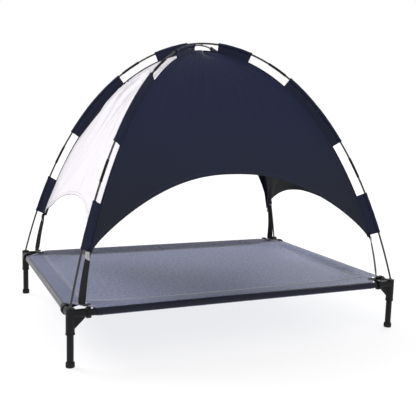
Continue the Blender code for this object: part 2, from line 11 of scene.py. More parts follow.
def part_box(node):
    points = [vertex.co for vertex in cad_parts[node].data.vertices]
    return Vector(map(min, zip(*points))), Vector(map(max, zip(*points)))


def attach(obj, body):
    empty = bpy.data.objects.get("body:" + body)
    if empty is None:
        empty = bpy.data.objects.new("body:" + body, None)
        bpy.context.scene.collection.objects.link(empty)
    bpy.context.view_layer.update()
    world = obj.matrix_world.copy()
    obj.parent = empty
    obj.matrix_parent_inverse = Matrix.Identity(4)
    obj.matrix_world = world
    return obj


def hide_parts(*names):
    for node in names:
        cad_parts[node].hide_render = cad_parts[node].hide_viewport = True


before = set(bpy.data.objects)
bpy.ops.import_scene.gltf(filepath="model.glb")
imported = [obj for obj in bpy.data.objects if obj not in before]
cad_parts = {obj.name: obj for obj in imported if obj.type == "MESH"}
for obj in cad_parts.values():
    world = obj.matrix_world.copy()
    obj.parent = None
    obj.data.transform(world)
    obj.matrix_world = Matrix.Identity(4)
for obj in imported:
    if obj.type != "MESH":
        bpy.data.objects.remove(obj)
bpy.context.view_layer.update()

# ---- places read from the frame -------------------------------------------

CORNERS = {"front_left": (-1, -1), "front_right": (1, -1), "rear_right": (1, 1), "rear_left": (-1, 1)}
LEG_LOW, LEG_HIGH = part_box("front_right_leg")
CAP_LOW, CAP_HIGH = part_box("front_right_foot_cap")
RAIL_LOW, RAIL_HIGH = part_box("right_rail")
POST_LOW, POST_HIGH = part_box("front_right_connector")

HALF_X = (LEG_LOW[0] + LEG_HIGH[0]) / 2
HALF_Y = -(LEG_LOW[1] + LEG_HIGH[1]) / 2
HALF_DIAGONAL = math.hypot(HALF_X, HALF_Y)
TUBE_R = (LEG_HIGH[0] - LEG_LOW[0]) / 2
RAIL_Z = (RAIL_LOW[2] + RAIL_HIGH[2]) / 2
DECK_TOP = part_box("deck_fabric")[1][2]
POST_BASE = POST_LOW[2]
POST_TOP = POST_HIGH[2]

# ---- driving sizes that the frame does not give ---------------------------

FOOT_LEAN = 15.25         # pole's lean at the foot, degrees from upright
LEAN_GAIN = 29.0
LEAN_POWER = 2.9
POLE_SPREAD = 0.004
PIN_DEPTH = 0.022
ROD_R = 0.0035
ROD_BORE_R = 0.0018
FERRULE_R = 0.0048
FERRULE_HALF = 0.040
FERRULE_ARCS = (0.446, 0.920)
SEAM_DROP = 0.036         # from a pole's axis to the ridge seam, low down
SEAM_EASE = 0.010         # how much nearer the seam is at the crossing
TIP_ARC = 0.170
TIP_POINT = 0.009         # small point of each panel's corner below the sleeve
SLEEVE_ARCS = {"lower": (0.184, 0.342), "middle": (0.555, 0.860), "upper": (1.035, 1.170)}
ARCH_FRONT = (0.446, 2.3, 0.80)    # top arc, roundness, squareness of the arch
ARCH_REAR = (0.520, 7.0, 0.62)
ARCH_SIDE = (0.325, 2.0, 0.66)

CLOTH = 0.0007            # canopy cloth's thickness
HEM_WIDTH = 0.015
DECK_CLOTH = 0.0010
DECK_DROP = 0.009         # how far the deck hangs below the rails' tops
DECK_SAG = 0.004
DECK_CUT = 0.083          # corner cut, measured along each rail
DECK_SEAMS = (0.066, 0.0895)   # from the short and the long rails' axes to the stitching
SEAM_TO_END = 0.0085      # from the stitching to the end of a channel
CHANNEL_R = DECK_TOP - RAIL_Z - DECK_CLOTH / 2    # from a rail's axis to the cloth round it
UNDER_GAP = 0.0016        # from the deck cloth down to the channel's loose end
WRAP_STEPS = 17           # rows of the channel's cloth that lie on the rail
SEEN_STEPS = 12           # rows of it, from the top, in the channel's colour: painted shade on the long rails
SIDE_SHADE_SLOT, UNDER_SLOT, HEM_SLOT, REAR_SHADE_SLOT, END_SLOT = 1, 2, 3, 4, 5    # the deck cloth's material slots; the side and rear slots hold painted shade
TUCK_X = -0.02            # small tuck in the rear hem
STUD_INSET = 0.068
STRAP_INSET = 0.053
STRAP_WIDTH = 0.027
STRAP_GATHER = 0.62       # width at the canopy's end against the deck's end
STRAP_THICK = 0.0016
SEWN_STEPS = 5            # points of a strap's path on the canopy
FREE_STEPS = 21           # and between the canopy and the bend at the deck
TAB_LIFT = 0.0025         # from the deck's top to the middle of a strap's end
STRAP_SWAYS = {"front_left": 0.0, "front_right": 0.0, "rear_right": -0.008, "rear_left": 0.0}
STRAP_TWISTS = {"front_left": -16, "front_right": 14, "rear_right": -27, "rear_left": 18}   # degrees
TUBE_WALL = 0.0014
TUBE_EASE = 0.0004        # rounding of a tube's ends
AMBIENT = 0.60            # how bright the white room is as a light
CAMERA_AZIMUTH = 23.97    # degrees from +Y towards +X
CAMERA_DROP = 8.0         # degrees below level
CAMERA_ROLL = 1.65
CAMERA_PLACE = (-1.024, -2.397, 0.784)
CAMERA_LENS = 56.9


# ---- pole curve -----------------------------------------------------------

def pole_curve(steps=600):
    """Arrays (arc, s, z) from a pole's foot to the crossing."""
    u = (np.arange(steps) + 0.5) / steps
    late = 90 - FOOT_LEAN - LEAN_GAIN
    lean = np.radians(FOOT_LEAN + LEAN_GAIN * u + late * u ** LEAN_POWER)
    step = HALF_DIAGONAL / np.sin(lean).sum()
    s = HALF_DIAGONAL - step * np.concatenate([[0], np.cumsum(np.sin(lean))])
    z = POST_TOP + step * np.concatenate([[0], np.cumsum(np.cos(lean))])
    return np.arange(steps + 1) * step, s, z


ARC_AT, S_AT, Z_AT = pole_curve()
HALF_ARC = float(ARC_AT[-1])
POLE_RISE = float(Z_AT[-1]) - POST_TOP


def arm_point(arc):
    """(s, z, outward normal) on one arm, for arcs up to the crossing."""
    if arc <= 0:
        return HALF_DIAGONAL, POST_TOP + arc, (1.0, 0.0)
    reach = 0.002
    ends = [max(arc - reach, 0), min(arc + reach, HALF_ARC)]
    s0, s1 = np.interp(ends, ARC_AT, S_AT)
    z0, z1 = np.interp(ends, ARC_AT, Z_AT)
    lean = math.atan2(s0 - s1, z1 - z0)
    s, z = (float(np.interp(arc, ARC_AT, values)) for values in (S_AT, Z_AT))
    return s, z, (math.cos(lean), math.sin(lean))


def seam_drop(arc):
    """Distance from a pole's axis in to the ridge seam."""
    return SEAM_DROP - SEAM_EASE * (arc / HALF_ARC) ** 4


def seam_point(arc):
    """(s, z, outward normal) of the canopy's ridge seam."""
    s, z, normal = arm_point(arc)
    drop = seam_drop(arc)
    return s - drop * normal[0], z - drop * normal[1], normal


def lifted(z, side):
    """A pole's height after its shift up or down towards the crossing."""
    return z + side * POLE_SPREAD * max(z - POST_TOP, 0) / POLE_RISE


def on_diagonal(signs, s, z, across=0.0):
    """A point in the upright plane through one corner and the middle."""
    dx = signs[0] * HALF_X / HALF_DIAGONAL
    dy = signs[1] * HALF_Y / HALF_DIAGONAL
    return Vector((s * dx - across * dy, s * dy + across * dx, z))


def beside(signs, spot, normal, out, across=0.0):
    """on_diagonal at a distance out from a spot (s, z) along a normal."""
    return on_diagonal(signs, spot[0] + normal[0] * out, spot[1] + normal[1] * out, across)


def spaced(low, high, step):
    """Evenly spaced values from low to high, about step apart."""
    count = max(int(math.ceil((high - low) / step)), 1)
    return [low + (high - low) * k / count for k in range(count + 1)]


# ---- shapes ---------------------------------------------------------------

def placed(name, data):
    """A new object in the scene."""
    piece = bpy.data.objects.new(name, data)
    bpy.context.scene.collection.objects.link(piece)
    return piece


class Shape:
    """Collects points and faces, with flat cloth coordinates in metres."""

    def __init__(self):
        self.points = []
        self.faces = []
        self.flats = []
        self.slots = []

    def row(self, points):
        """Add a row of points; returns their numbers."""
        first = len(self.points)
        self.points += [tuple(point) for point in points]
        return list(range(first, len(self.points)))

    def face(self, corners, flats, slot=0):
        """Add one face."""
        self.faces.append(tuple(corners))
        self.flats.append(flats)
        self.slots.append(slot)

    def strip(self, first, second, across, low, high, closed=False, slot=0):
        """Quads between two rows; across holds the flat place of each point."""
        count = len(first) if closed else len(first) - 1
        for i in range(count):
            j = (i + 1) % len(first)
            flats = [(across[i], low), (across[i + 1], low), (across[i + 1], high), (across[i], high)]
            self.face((first[i], first[j], second[j], second[i]), flats, slot)

    def cap(self, ring):
        """Close a ring with one face."""
        self.face(ring, [self.points[index][:2] for index in ring])

    def strips(self, rows, across, closed=False):
        """Join rows, given as (row, flat place), each to the next."""
        for (first, low), (second, high) in zip(rows, rows[1:]):
            self.strip(first, second, across, low, high, closed)

    def loft(self, rings, across):
        """Join closed rings, given as (ring, flat place), into a capped tube."""
        self.cap(rings[0][0])
        self.strips(rings, across, closed=True)
        self.cap(rings[-1][0])

    def build(self, name, mats, sharp=None):
        """Make the object, with its faces outwards and edges above an angle kept sharp."""
        bm = bmesh.new()
        verts = [bm.verts.new(point) for point in self.points]
        layer = bm.loops.layers.uv.new("flat")
        for corners, flats, slot in zip(self.faces, self.flats, self.slots):
            made = bm.faces.new([verts[index] for index in corners])
            made.material_index = slot
            made.smooth = True
            for loop, flat in zip(made.loops, flats):
                loop[layer].uv = flat
        bmesh.ops.recalc_face_normals(bm, faces=bm.faces)
        mesh = bpy.data.meshes.new(name)
        bm.to_mesh(mesh)
        bm.free()
        for mat in mats:
            mesh.materials.append(mat)
        if sharp:
            mesh.set_sharp_from_angle(angle=math.radians(sharp))
        return placed(name, mesh)


def eased_side(radius, low, high, ease=TUBE_EASE):
    """Outer side of a turned profile, with its two edges rounded."""
    return [(radius - ease, low), (radius, low + ease), (radius, high - ease), (radius - ease, high)]


def turned(name, profile, mats, spot=(0, 0, 0), axis="Z", sides=48, sharp=40):
    """Turn a closed or axis-to-axis profile of (radius, distance)."""
    shape = Shape()
    solid = profile[0][0] == 0
    core = profile[1:-1] if solid else profile
    turns = [2 * math.pi * k / sides for k in range(sides)]
    rings = []
    for radius, along in core:
        ring = []
        for turn in turns:
            p, q = radius * math.cos(turn), radius * math.sin(turn)
            local = {"X": (along, p, q), "Y": (p, along, q), "Z": (p, q, along)}[axis]
            ring.append(Vector(local) + Vector(spot))
        rings.append(shape.row(ring))
    travel = 0.0
    for k, (here, after) in enumerate(zip(core, core[1:])):
        step = math.hypot(after[0] - here[0], after[1] - here[1])
        around = [2 * math.pi * max(here[0], 0.002) * i / sides for i in range(sides + 1)]
        shape.strip(rings[k], rings[k + 1], around, travel, travel + step, closed=True)
        travel += step
    if solid:
        shape.cap(rings[0])
        shape.cap(rings[-1])
    else:
        around = [2 * math.pi * core[-1][0] * i / sides for i in range(sides + 1)]
        shape.strip(rings[-1], rings[0], around, travel, travel + 0.001, closed=True)
    return shape.build(name, mats, sharp=sharp)


def modify(piece, name, kind, **settings):
    """Add a modifier with some settings."""
    made = piece.modifiers.new(name, kind)
    for key, value in settings.items():
        setattr(made, key, value)


def thicken(piece, thickness, material_offset=0):
    """Give a cloth surface its thickness, half to each side."""
    modify(piece, "cloth", "SOLIDIFY", thickness=thickness, offset=0, material_offset=material_offset)


def settle(piece, body, slot, *nodes):
    """Ride a piece on a body and hide the frame's parts it stands for; slot is not used."""
    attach(piece, body)
    if nodes:
        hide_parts(*nodes)
    return piece


# ---- materials ------------------------------------------------------------

def linear(level):
    """One sRGB level, 0 to 255, as a linear value."""
    value = level / 255
    return value / 12.92 if value <= 0.04045 else ((value + 0.055) / 1.055) ** 2.4


def rgba(*levels):
    """An sRGB colour as a linear one with alpha."""
    return (*[linear(level) for level in levels], 1.0)


class Nodes:
    """Short calls for building a node tree."""

    def __init__(self, name, roughness, metallic=0.0, **inputs):
        self.mat = bpy.data.materials.new(name)
        self.mat.use_nodes = True
        self.tree = self.mat.node_tree
        self.shader = self.tree.nodes["Principled BSDF"]
        self.shader.inputs["Roughness"].default_value = roughness
        self.shader.inputs["Metallic"].default_value = metallic
        for key, value in inputs.items():
            self.shader.inputs[key.replace("_", " ").title().replace("Ior", "IOR")].default_value = value

    def add(self, kind, sockets=None, **settings):
        """A node with some settings and inputs, given as values or links."""
        made = self.tree.nodes.new(kind)
        for key, value in settings.items():
            setattr(made, key, value)
        for key, value in (sockets or {}).items():
            socket = made.inputs[key]
            if isinstance(value, bpy.types.NodeSocket):
                self.tree.links.new(value, socket)
            else:
                socket.default_value = value
        return made

    def math(self, operation, first, second=0.0):
        """One Math node's result."""
        return self.add("ShaderNodeMath", {0: first, 1: second}, operation=operation).outputs[0]

    def noise(self, coordinate, scale, detail=3.0, rough=0.5):
        """A Noise texture's value."""
        sockets = {"Vector": coordinate, "Scale": scale, "Detail": detail, "Roughness": rough}
        return self.add("ShaderNodeTexNoise", sockets).outputs[0]

    def ramp(self, factor, low, high, low_at=0.0, high_at=1.0):
        """A two-colour ramp."""
        made = self.add("ShaderNodeValToRGB", {"Fac": factor})
        stops = made.color_ramp.elements
        stops[0].position, stops[0].color = low_at, low
        stops[1].position, stops[1].color = high_at, high
        return made.outputs["Color"]

    def span(self, value, low, high):
        """Map 0..1 to low..high."""
        sockets = {"Value": value, "To Min": low, "To Max": high}
        return self.add("ShaderNodeMapRange", sockets).outputs[0]

    def link(self, output, socket):
        """Link a result to one of the shader's inputs."""
        self.tree.links.new(output, self.shader.inputs[socket])

    def paint(self, *ramp):
        """Colour the surface by a ramp."""
        self.link(self.ramp(*ramp), "Base Color")

    def dull(self, value, low, high):
        """Vary the roughness by a value."""
        self.link(self.span(value, low, high), "Roughness")

    def bump(self, height, strength, distance):
        """Send a height to the shader's normal; returns the finished material."""
        sockets = {"Height": height, "Strength": strength, "Distance": distance}
        self.link(self.add("ShaderNodeBump", sockets).outputs[0], "Normal")
        return self.mat

    def place(self):
        """Object coordinates."""
        return self.add("ShaderNodeTexCoord").outputs["Object"]

    def flat(self):
        """The cloth's flat coordinates, in metres."""
        return self.add("ShaderNodeUVMap", uv_map="flat").outputs[0]

    def parts(self, coordinate):
        """A coordinate's separate values."""
        return self.add("ShaderNodeSeparateXYZ", {"Vector": coordinate}).outputs

    def ridges(self, value, pitch):
        """Rounded ridges at an even pitch."""
        return self.math("ABSOLUTE", self.math("SINE", self.math("MULTIPLY", value, math.pi / pitch)))

    def mixed(self, first, second, share):
        """The first plus a share of the second."""
        return self.math("ADD", first, self.math("MULTIPLY", second, share))

    def scaled(self, coordinate, scale):
        """Coordinates stretched along each axis."""
        return self.add("ShaderNodeMapping", {"Vector": coordinate, "Scale": scale}).outputs[0]


def woven(name, low, high, rough, sheen, pitch=0.0008, depth=0.00012, fleck=0.0, gloss=0.2, foot=None):
    """Plain weave: yarns of a given pitch, slubs, flecks and slow fading; foot is a greyer colour blended in
    low down, painted light that leaves the top bluer as if lit by the sky.
    """
    n = Nodes(name, rough, sheen_weight=sheen, sheen_roughness=0.45, specular_ior_level=gloss)
    flat = n.flat()
    parts = n.parts(flat)
    warp, weft = n.ridges(parts[0], pitch), n.ridges(parts[1], pitch)
    check = n.add("ShaderNodeTexChecker", {"Vector": flat, "Scale": 1 / pitch}).outputs["Fac"]
    yarns = n.add("ShaderNodeMix", {"Factor": check, 2: warp, 3: weft}).outputs[0]
    along, across = (n.noise(n.scaled(flat, scale), 1.0, 2.0) for scale in ((40, 900, 1), (900, 40, 1)))
    slub = n.math("MULTIPLY", n.math("ADD", along, across), 0.5)
    cloud = n.noise(n.place(), 3.5, 4.0)
    # tone: slubs and slow clouds, plus the yarns' height, which paints shade into the hollows between yarns
    tone = n.mixed(n.mixed(n.math("MULTIPLY", slub, 0.55), cloud, 0.30), yarns, 0.15)
    if fleck:
        grain = n.math("ADD", n.noise(flat, 330.0, 3.0, 0.7), n.noise(flat, 95.0, 2.0, 0.7))
        tone = n.mixed(tone, n.math("SUBTRACT", grain, 1.0), fleck)
    colour = n.ramp(tone, low, high, 0.30, 0.70)
    # painted light: from 0.85 m down to 0.45 m the colour turns to the greyer foot colour, so the top reads
    # bluer as if lit by the sky
    if foot:
        height = n.parts(n.place())[2]
        share = n.add("ShaderNodeMapRange", {"Value": height, "From Min": 0.85, "From Max": 0.45}).outputs[0]
        colour = n.add("ShaderNodeMix", {0: share, 6: colour, 7: foot}, data_type="RGBA").outputs[2]
    n.link(colour, "Base Color")
    n.dull(cloud, rough - 0.06, rough + 0.06)
    return n.bump(n.mixed(yarns, slub, 0.8), 0.6, depth)


def oxford(name, low, high, rough, sheen, fleck=1.6, gloss=0.2):
    """The deck's coarser, flecked Oxford weave."""
    return woven(name, low, high, rough, sheen, 0.0011, 0.0003, fleck, gloss)


def webbing(name, low, high):
    """Strap webbing: ribs across the strap, yarns along it and a little fuzz, with painted shade in the
    hollows of the weave.
    """
    n = Nodes(name, 0.52, sheen_weight=0.08, sheen_roughness=0.5, specular_ior_level=0.35)
    flat = n.flat()
    parts = n.parts(flat)
    weave = n.math("MULTIPLY", n.ridges(parts[1], 0.0016), n.ridges(parts[0], 0.0011))
    height = n.mixed(weave, n.noise(n.scaled(flat, (900, 300, 1)), 1.0), 0.4)
    # painted shade: the colour follows the weave's height, darker in its hollows
    n.paint(n.math("MULTIPLY", height, 0.8), low, high)
    return n.bump(height, 0.8, 0.0003)


def coated_steel(name):
    """Black powder coat: orange peel, faint dust and scuffs."""
    n = Nodes(name, 0.38, specular_ior_level=0.22)
    place = n.place()
    dust = n.noise(place, 14.0, 6.0, 0.65)
    n.paint(dust, rgba(5, 6, 9), rgba(16, 18, 23), 0.35, 0.75)
    n.dull(dust, 0.28, 0.50)
    return n.bump(n.noise(place, 900.0, 2.0), 0.25, 0.0002)


def moulded(name, low, high, rough):
    """Moulded plastic: spark-eroded grain and slow variation of gloss."""
    n = Nodes(name, rough, specular_ior_level=0.22)
    place = n.place()
    slow = n.noise(place, 22.0, 5.0, 0.6)
    n.paint(slow, low, high, 0.3, 0.7)
    n.dull(slow, rough - 0.08, rough + 0.10)
    return n.bump(n.noise(place, 1400.0, 2.0), 0.35, 0.00015)


def rubber(name):
    """Matt rubber with dust rubbed into it near the floor."""
    n = Nodes(name, 0.82)
    place = n.place()
    height = n.parts(place)[2]
    low = n.add("ShaderNodeMapRange", {"Value": height, "From Max": 0.012, "To Min": 0.8, "To Max": 0.1})
    grime = n.math("MULTIPLY", low.outputs[0], n.noise(place, 160.0, 5.0))
    n.paint(grime, rgba(14, 14, 16), rgba(62, 60, 58), 0.15, 0.8)
    return n.bump(n.noise(place, 1800.0), 0.4, 0.0002)


def wrapped_rod(name):
    """Fibreglass rod: glass fibres along it under a clear resin skin."""
    n = Nodes(name, 0.34, coat_weight=0.3, coat_roughness=0.12)
    fibres = n.noise(n.scaled(n.flat(), (2600, 45, 1)), 1.0, 4.0)
    n.paint(fibres, rgba(19, 17, 18), rgba(58, 52, 48), 0.3, 0.75)
    return n.bump(fibres, 0.2, 0.0001)


def plated(name):
    """Nickel-plated stud metal with fine turning marks."""
    n = Nodes(name, 0.24, 1.0)
    marks = n.noise(n.scaled(n.place(), (300, 300, 2500)), 1.0, 3.0)
    n.paint(marks, rgba(170, 172, 178), rgba(222, 223, 228))
    n.dull(marks, 0.18, 0.34)
    return n.bump(marks, 0.15, 0.0001)


def thread(name, colour):
    """Sewing thread, with painted shade of the hollows of its twist laid on as fine noise."""
    n = Nodes(name, 0.6, sheen_weight=0.3)
    dark = (*[level * 0.7 for level in colour[:3]], 1)
    # painted shade: the darker tone stands for the hollows of the twist
    n.paint(n.noise(n.place(), 2500.0), dark, colour)
    return n.mat


MATS = {
    # deck and deck_hem: the navy deck cloth painted lighter, partly its own tone and partly painted sheen of
    # the top; deck_hem a little darker
    "deck": oxford("deck_oxford", rgba(74, 82, 116), rgba(126, 133, 168), 0.48, 0.15, gloss=0.35),
    "deck_hem": oxford("deck_oxford_hem", rgba(66, 74, 106), rgba(116, 123, 156), 0.5, 0.12, gloss=0.3),
    # painted shade: the rear hem band, the deck cloth painted darker as if sloping away from the light
    "deck_rear_painted_shade": oxford("deck_oxford_rear_painted_shade", rgba(36, 41, 64), rgba(76, 81, 106), 0.6, 0.08, 2.2),
    # painted shade: the long rails' channels, the deck cloth painted dark as the shade on their outer faces
    "deck_side_painted_shade": oxford("deck_channel_painted_shade", rgba(6, 8, 22), rgba(17, 21, 44), 0.5, 0.02, 0.8, 0.25),
    "deck_end": oxford("deck_end_channel", rgba(14, 17, 34), rgba(34, 39, 64), 0.32, 0.05, 0.8, 0.9),
    # painted light on the navy panels: bluer high up, greyer low down
    "navy": woven("canopy_navy", rgba(22, 27, 50), rgba(37, 43, 74), 0.72, 0.03, foot=rgba(32, 35, 48)),
    "navy_inside": woven("canopy_navy_inside", rgba(28, 29, 33), rgba(44, 45, 49), 0.8, 0.02),
    # painted glare: the side panels' outside painted near white, standing in for sun glare on the canopy
    # cloth
    "pale": woven("canopy_pale", rgba(220, 216, 226), rgba(250, 247, 252), 0.7, 0.08),
    "sleeve": woven("sleeve_navy", rgba(13, 17, 36), rgba(30, 36, 62), 0.62, 0.03),
    "tab": woven("pale_tab", rgba(168, 166, 170), rgba(208, 205, 206), 0.6, 0.1),
    "webbing": webbing("strap_webbing", rgba(3, 3, 6), rgba(14, 15, 21)),
    "steel": coated_steel("powder_coat"),
    "plastic": moulded("connector_plastic", rgba(4, 5, 8), rgba(11, 12, 19), 0.42),
    "ferrule": moulded("ferrule_black", rgba(8, 8, 10), rgba(18, 18, 22), 0.3),
    "rubber": rubber("foot_rubber"),
    "rod": wrapped_rod("fibreglass"),
    "elastic": moulded("elastic_cover", rgba(20, 20, 22), rgba(60, 60, 64), 0.8),
    "stud": plated("nickel"),
    "dark_thread": thread("dark_thread", rgba(44, 50, 78)),
    "deck_thread": thread("deck_thread", rgba(214, 212, 214)),
    "pale_thread": thread("pale_thread", rgba(116, 116, 130)),
}


# ---- sewing ---------------------------------------------------------------

def stitched(name, lines, mat, pitch=0.0042, length=0.0030, radius=0.00034):
    """Rows of separate stitches along lines of (point, normal)."""
    shape = Shape()
    for line in lines:
        spots = [Vector(point) for point, _ in line]
        ups = [Vector(up) for _, up in line]
        travel = [0.0]
        for a, b in zip(spots, spots[1:]):
            travel.append(travel[-1] + (b - a).length)
        for start in np.arange(pitch / 2, travel[-1] - length, pitch):
            ends = []
            for along in (start, start + length):
                k = min(int(np.searchsorted(travel, along)), len(travel) - 1)
                share = (along - travel[k - 1]) / max(travel[k] - travel[k - 1], 1e-9)
                ends.append((spots[k - 1].lerp(spots[k], share), ups[k - 1].lerp(ups[k], share).normalized()))
            add_stitch(shape, ends, radius)
    return shape.build(name, [mat])


def add_stitch(shape, ends, radius):
    """One stitch: a short thread that dives into the cloth at both ends."""
    (a, up_a), (b, up_b) = ends
    side = (b - a).normalized().cross(up_a).normalized()
    rings = []
    for share, lift, size in ((0.0, -0.6, 0.5), (0.22, 0.55, 1.0), (0.78, 0.55, 1.0), (1.0, -0.6, 0.5)):
        up = up_a.lerp(up_b, share)
        middle = a.lerp(b, share) + up * radius * lift
        turns = [math.pi / 2 * k for k in range(4)]
        ring = [middle + (side * math.cos(t) + up * math.sin(t)) * radius * size for t in turns]
        rings.append((shape.row(ring), len(rings)))
    shape.loft(rings, [0, 1, 2, 3, 4])


# ---- frame pieces ---------------------------------------------------------

def build_legs():
    """Legs and foot caps at each corner."""
    cap_r = (CAP_HIGH[0] - CAP_LOW[0]) / 2
    cap_top = CAP_HIGH[2]
    bore = TUBE_R + 0.0003
    low, high = LEG_LOW[2], LEG_HIGH[2]
    tube = eased_side(TUBE_R, low, high) + [(TUBE_R - TUBE_WALL, high), (TUBE_R - TUBE_WALL, low)]
    cap = [(0, 0), (cap_r - 0.0030, 0), (cap_r - 0.0012, 0.0006), (cap_r - 0.0003, 0.0020)]
    for groove in (0.0052, 0.0082):
        cap += [(cap_r, groove - 0.0010), (cap_r - 0.0007, groove - 0.0004)]
        cap += [(cap_r - 0.0007, groove + 0.0004), (cap_r, groove + 0.0010)]
    cap += [(cap_r - 0.0002, cap_top - 0.0024), (cap_r - 0.0010, cap_top - 0.0006), (cap_r - 0.0022, cap_top)]
    cap += [(bore + 0.0004, cap_top), (bore, cap_top - 0.0006), (bore, low - 0.0003), (0, low - 0.0003)]
    for corner, signs in CORNERS.items():
        spot = (signs[0] * HALF_X, signs[1] * HALF_Y, 0)
        leg = turned(f"{corner}_leg_tube", tube, [MATS["steel"]], spot)
        settle(leg, f"{corner}_leg_body", "frame_steel", f"{corner}_leg")
        foot = turned(f"{corner}_foot_rubber", cap, [MATS["rubber"]], spot)
        settle(foot, f"{corner}_leg_body", "foot_rubber", f"{corner}_foot_cap")


def solid_bar(profile, axis, sides=64):
    """A helper solid for the corner moulding, at the corner's axis."""
    return turned("helper", profile, [], (0, 0, 0 if axis == "Z" else RAIL_Z), axis, sides, sharp=None)


def solid_rod(radius, low, high, axis="Z", sides=64):
    """A plain helper cylinder for the corner moulding."""
    return solid_bar([(0, low), (radius, low), (radius, high), (0, high)], axis, sides)


def connector_solids():
    """The corner moulding's bodies and the cuts, for inward signs of +1."""
    post_r = 0.0140
    arm_r = 0.0138
    collar_r = 0.0180
    reach = 0.063
    collar = reach - 0.014
    arm = [
        (0, 0.001), (arm_r, 0.001), (arm_r, collar), (collar_r, collar + 0.0008),
        (collar_r, reach), (0, reach),
    ]
    solids = [
        solid_rod(post_r, POST_BASE, POST_TOP),
        solid_bar(arm, "X"),
        solid_bar(arm, "Y"),
        solid_rod(post_r + 0.0012, POST_BASE, POST_BASE + 0.004),
    ]
    web = Shape()
    for y in (-0.004, 0.004):
        web.row([(0.004, y, RAIL_Z - 0.057), (0.057, y, RAIL_Z - 0.004), (0.004, y, RAIL_Z - 0.004)])
    web.strip([0, 1, 2], [3, 4, 5], [0, 1, 2, 3], 0, 1, closed=True)
    web.cap([0, 1, 2])
    web.cap([3, 4, 5])
    solids.append(web.build("helper", []))
    bore = TUBE_R + 0.0004
    rail_start = 0.0206
    pole_hole_r = 0.0042
    pole_hole_depth = 0.0255
    over = 0.003
    cuts = [
        solid_rod(bore, POST_BASE - over, LEG_HIGH[2] + 0.0004),
        solid_rod(bore, rail_start, reach + over, "X"),
        solid_rod(bore, rail_start, reach + over, "Y"),
        solid_rod(pole_hole_r, POST_TOP - pole_hole_depth, POST_TOP + over, sides=32),
    ]
    return solids, cuts


def connector_mesh():
    """One corner moulding with filleted edges, for inward signs of +1."""
    solids, cuts = connector_solids()
    base = solids[0]
    for number, other in enumerate(solids[1:] + cuts):
        operation = "UNION" if number < len(solids) - 1 else "DIFFERENCE"
        modify(base, f"step_{number}", "BOOLEAN", object=other, operation=operation)
    modify(base, "voxels", "REMESH", mode="VOXEL", voxel_size=0.0007)
    modify(base, "soften", "SMOOTH", factor=0.5, iterations=5)
    modify(base, "thin", "DECIMATE", ratio=0.22)
    graph = bpy.context.evaluated_depsgraph_get()
    mesh = bpy.data.meshes.new_from_object(base.evaluated_get(graph))
    for helper in solids + cuts:
        bpy.data.objects.remove(helper)
    return mesh


def build_connectors():
    """Corner mouldings, mirrored to each corner."""
    master = connector_mesh()
    for corner, signs in CORNERS.items():
        mesh = master.copy()
        flip = Matrix.Diagonal((-signs[0], -signs[1], 1, 1))
        mesh.transform(Matrix.Translation((signs[0] * HALF_X, signs[1] * HALF_Y, 0)) @ flip)
        if signs[0] * signs[1] < 0:
            mesh.flip_normals()
        mesh.materials.clear()
        mesh.materials.append(MATS["plastic"])
        mesh.shade_smooth()
        piece = placed(f"{corner}_corner_moulding", mesh)
        settle(piece, "bed_frame", "connector_plastic", f"{corner}_connector")


def rail_tube(name, node, axis, spot, low, high, swage=None):
    """A rail with rounded tube ends, and a narrowed end if swage is given."""
    bore = TUBE_R - TUBE_WALL
    side = eased_side(TUBE_R, low, high)
    tube = side + [(bore, high), (bore, low)]
    if swage is not None:
        narrow = 0.0092
        shoulder = low + TUBE_WALL
        tube = [(narrow, swage), (narrow, low)] + side + [(bore, high), (bore, shoulder)]
        tube += [(narrow - TUBE_WALL, shoulder), (narrow - TUBE_WALL, swage)]
    piece = turned(name, tube, [MATS["steel"]], spot, axis)
    settle(piece, "bed_frame", "frame_steel", node)


def build_rails():
    """Short rails in one piece and long rails in two halves."""
    for name, side in (("left", -1), ("right", 1)):
        low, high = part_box(f"{name}_rail")
        rail_tube(f"{name}_rail_tube", f"{name}_rail", "Y", (side * HALF_X, 0, RAIL_Z), low[1], high[1])
    joint = 0.0003
    for face, front in (("front", -1), ("rear", 1)):
        spot = (0, front * HALF_Y, RAIL_Z)
        left, right = (f"{face}_rail_{side}" for side in ("left", "right"))
        left_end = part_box(f"{left}_half")[0][0]
        swage, right_end = (corner[0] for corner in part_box(f"{right}_half"))
        rail_tube(f"{left}_tube", f"{left}_half", "X", spot, left_end, -joint)
        rail_tube(f"{right}_tube", f"{right}_half", "X", spot, joint, right_end, swage)


# ---- deck -----------------------------------------------------------------

def wave(x, y, scale, seed):
    """Smooth noise between about -1 and 1."""
    return noise.noise(Vector((x * scale, y * scale, seed)))


def eased(value, low, high):
    """0 below low, 1 above high, smooth between."""
    share = min(max((value - low) / (high - low), 0), 1)
    return share * share * (3 - 2 * share)


def hem_ripple(x, y):
    """Puckers of the hem bands, and the tuck in the rear one."""
    ripple = 0.0
    for near, seam in ((HALF_X - abs(x), DECK_SEAMS[0]), (HALF_Y - abs(y), DECK_SEAMS[1])):
        share = min(max((near - 0.010) / (seam - 0.010), 0), 1)
        puckers = 0.0013 * wave(x, y, 20.0, 6.0) + 0.0008 * wave(x, y, 52.0, 8.0)
        ripple += math.sin(math.pi * share) * puckers
    tuck_start, tuck_length, tuck_half, tuck_depth = 0.004, 0.095, 0.006, 0.0050
    share = min(max((HALF_Y - y - tuck_start) / tuck_length, 0), 1)
    across = math.exp(-(((x - TUCK_X) / tuck_half) ** 2))
    return ripple - tuck_depth * math.sin(math.pi * share) ** 0.6 * across


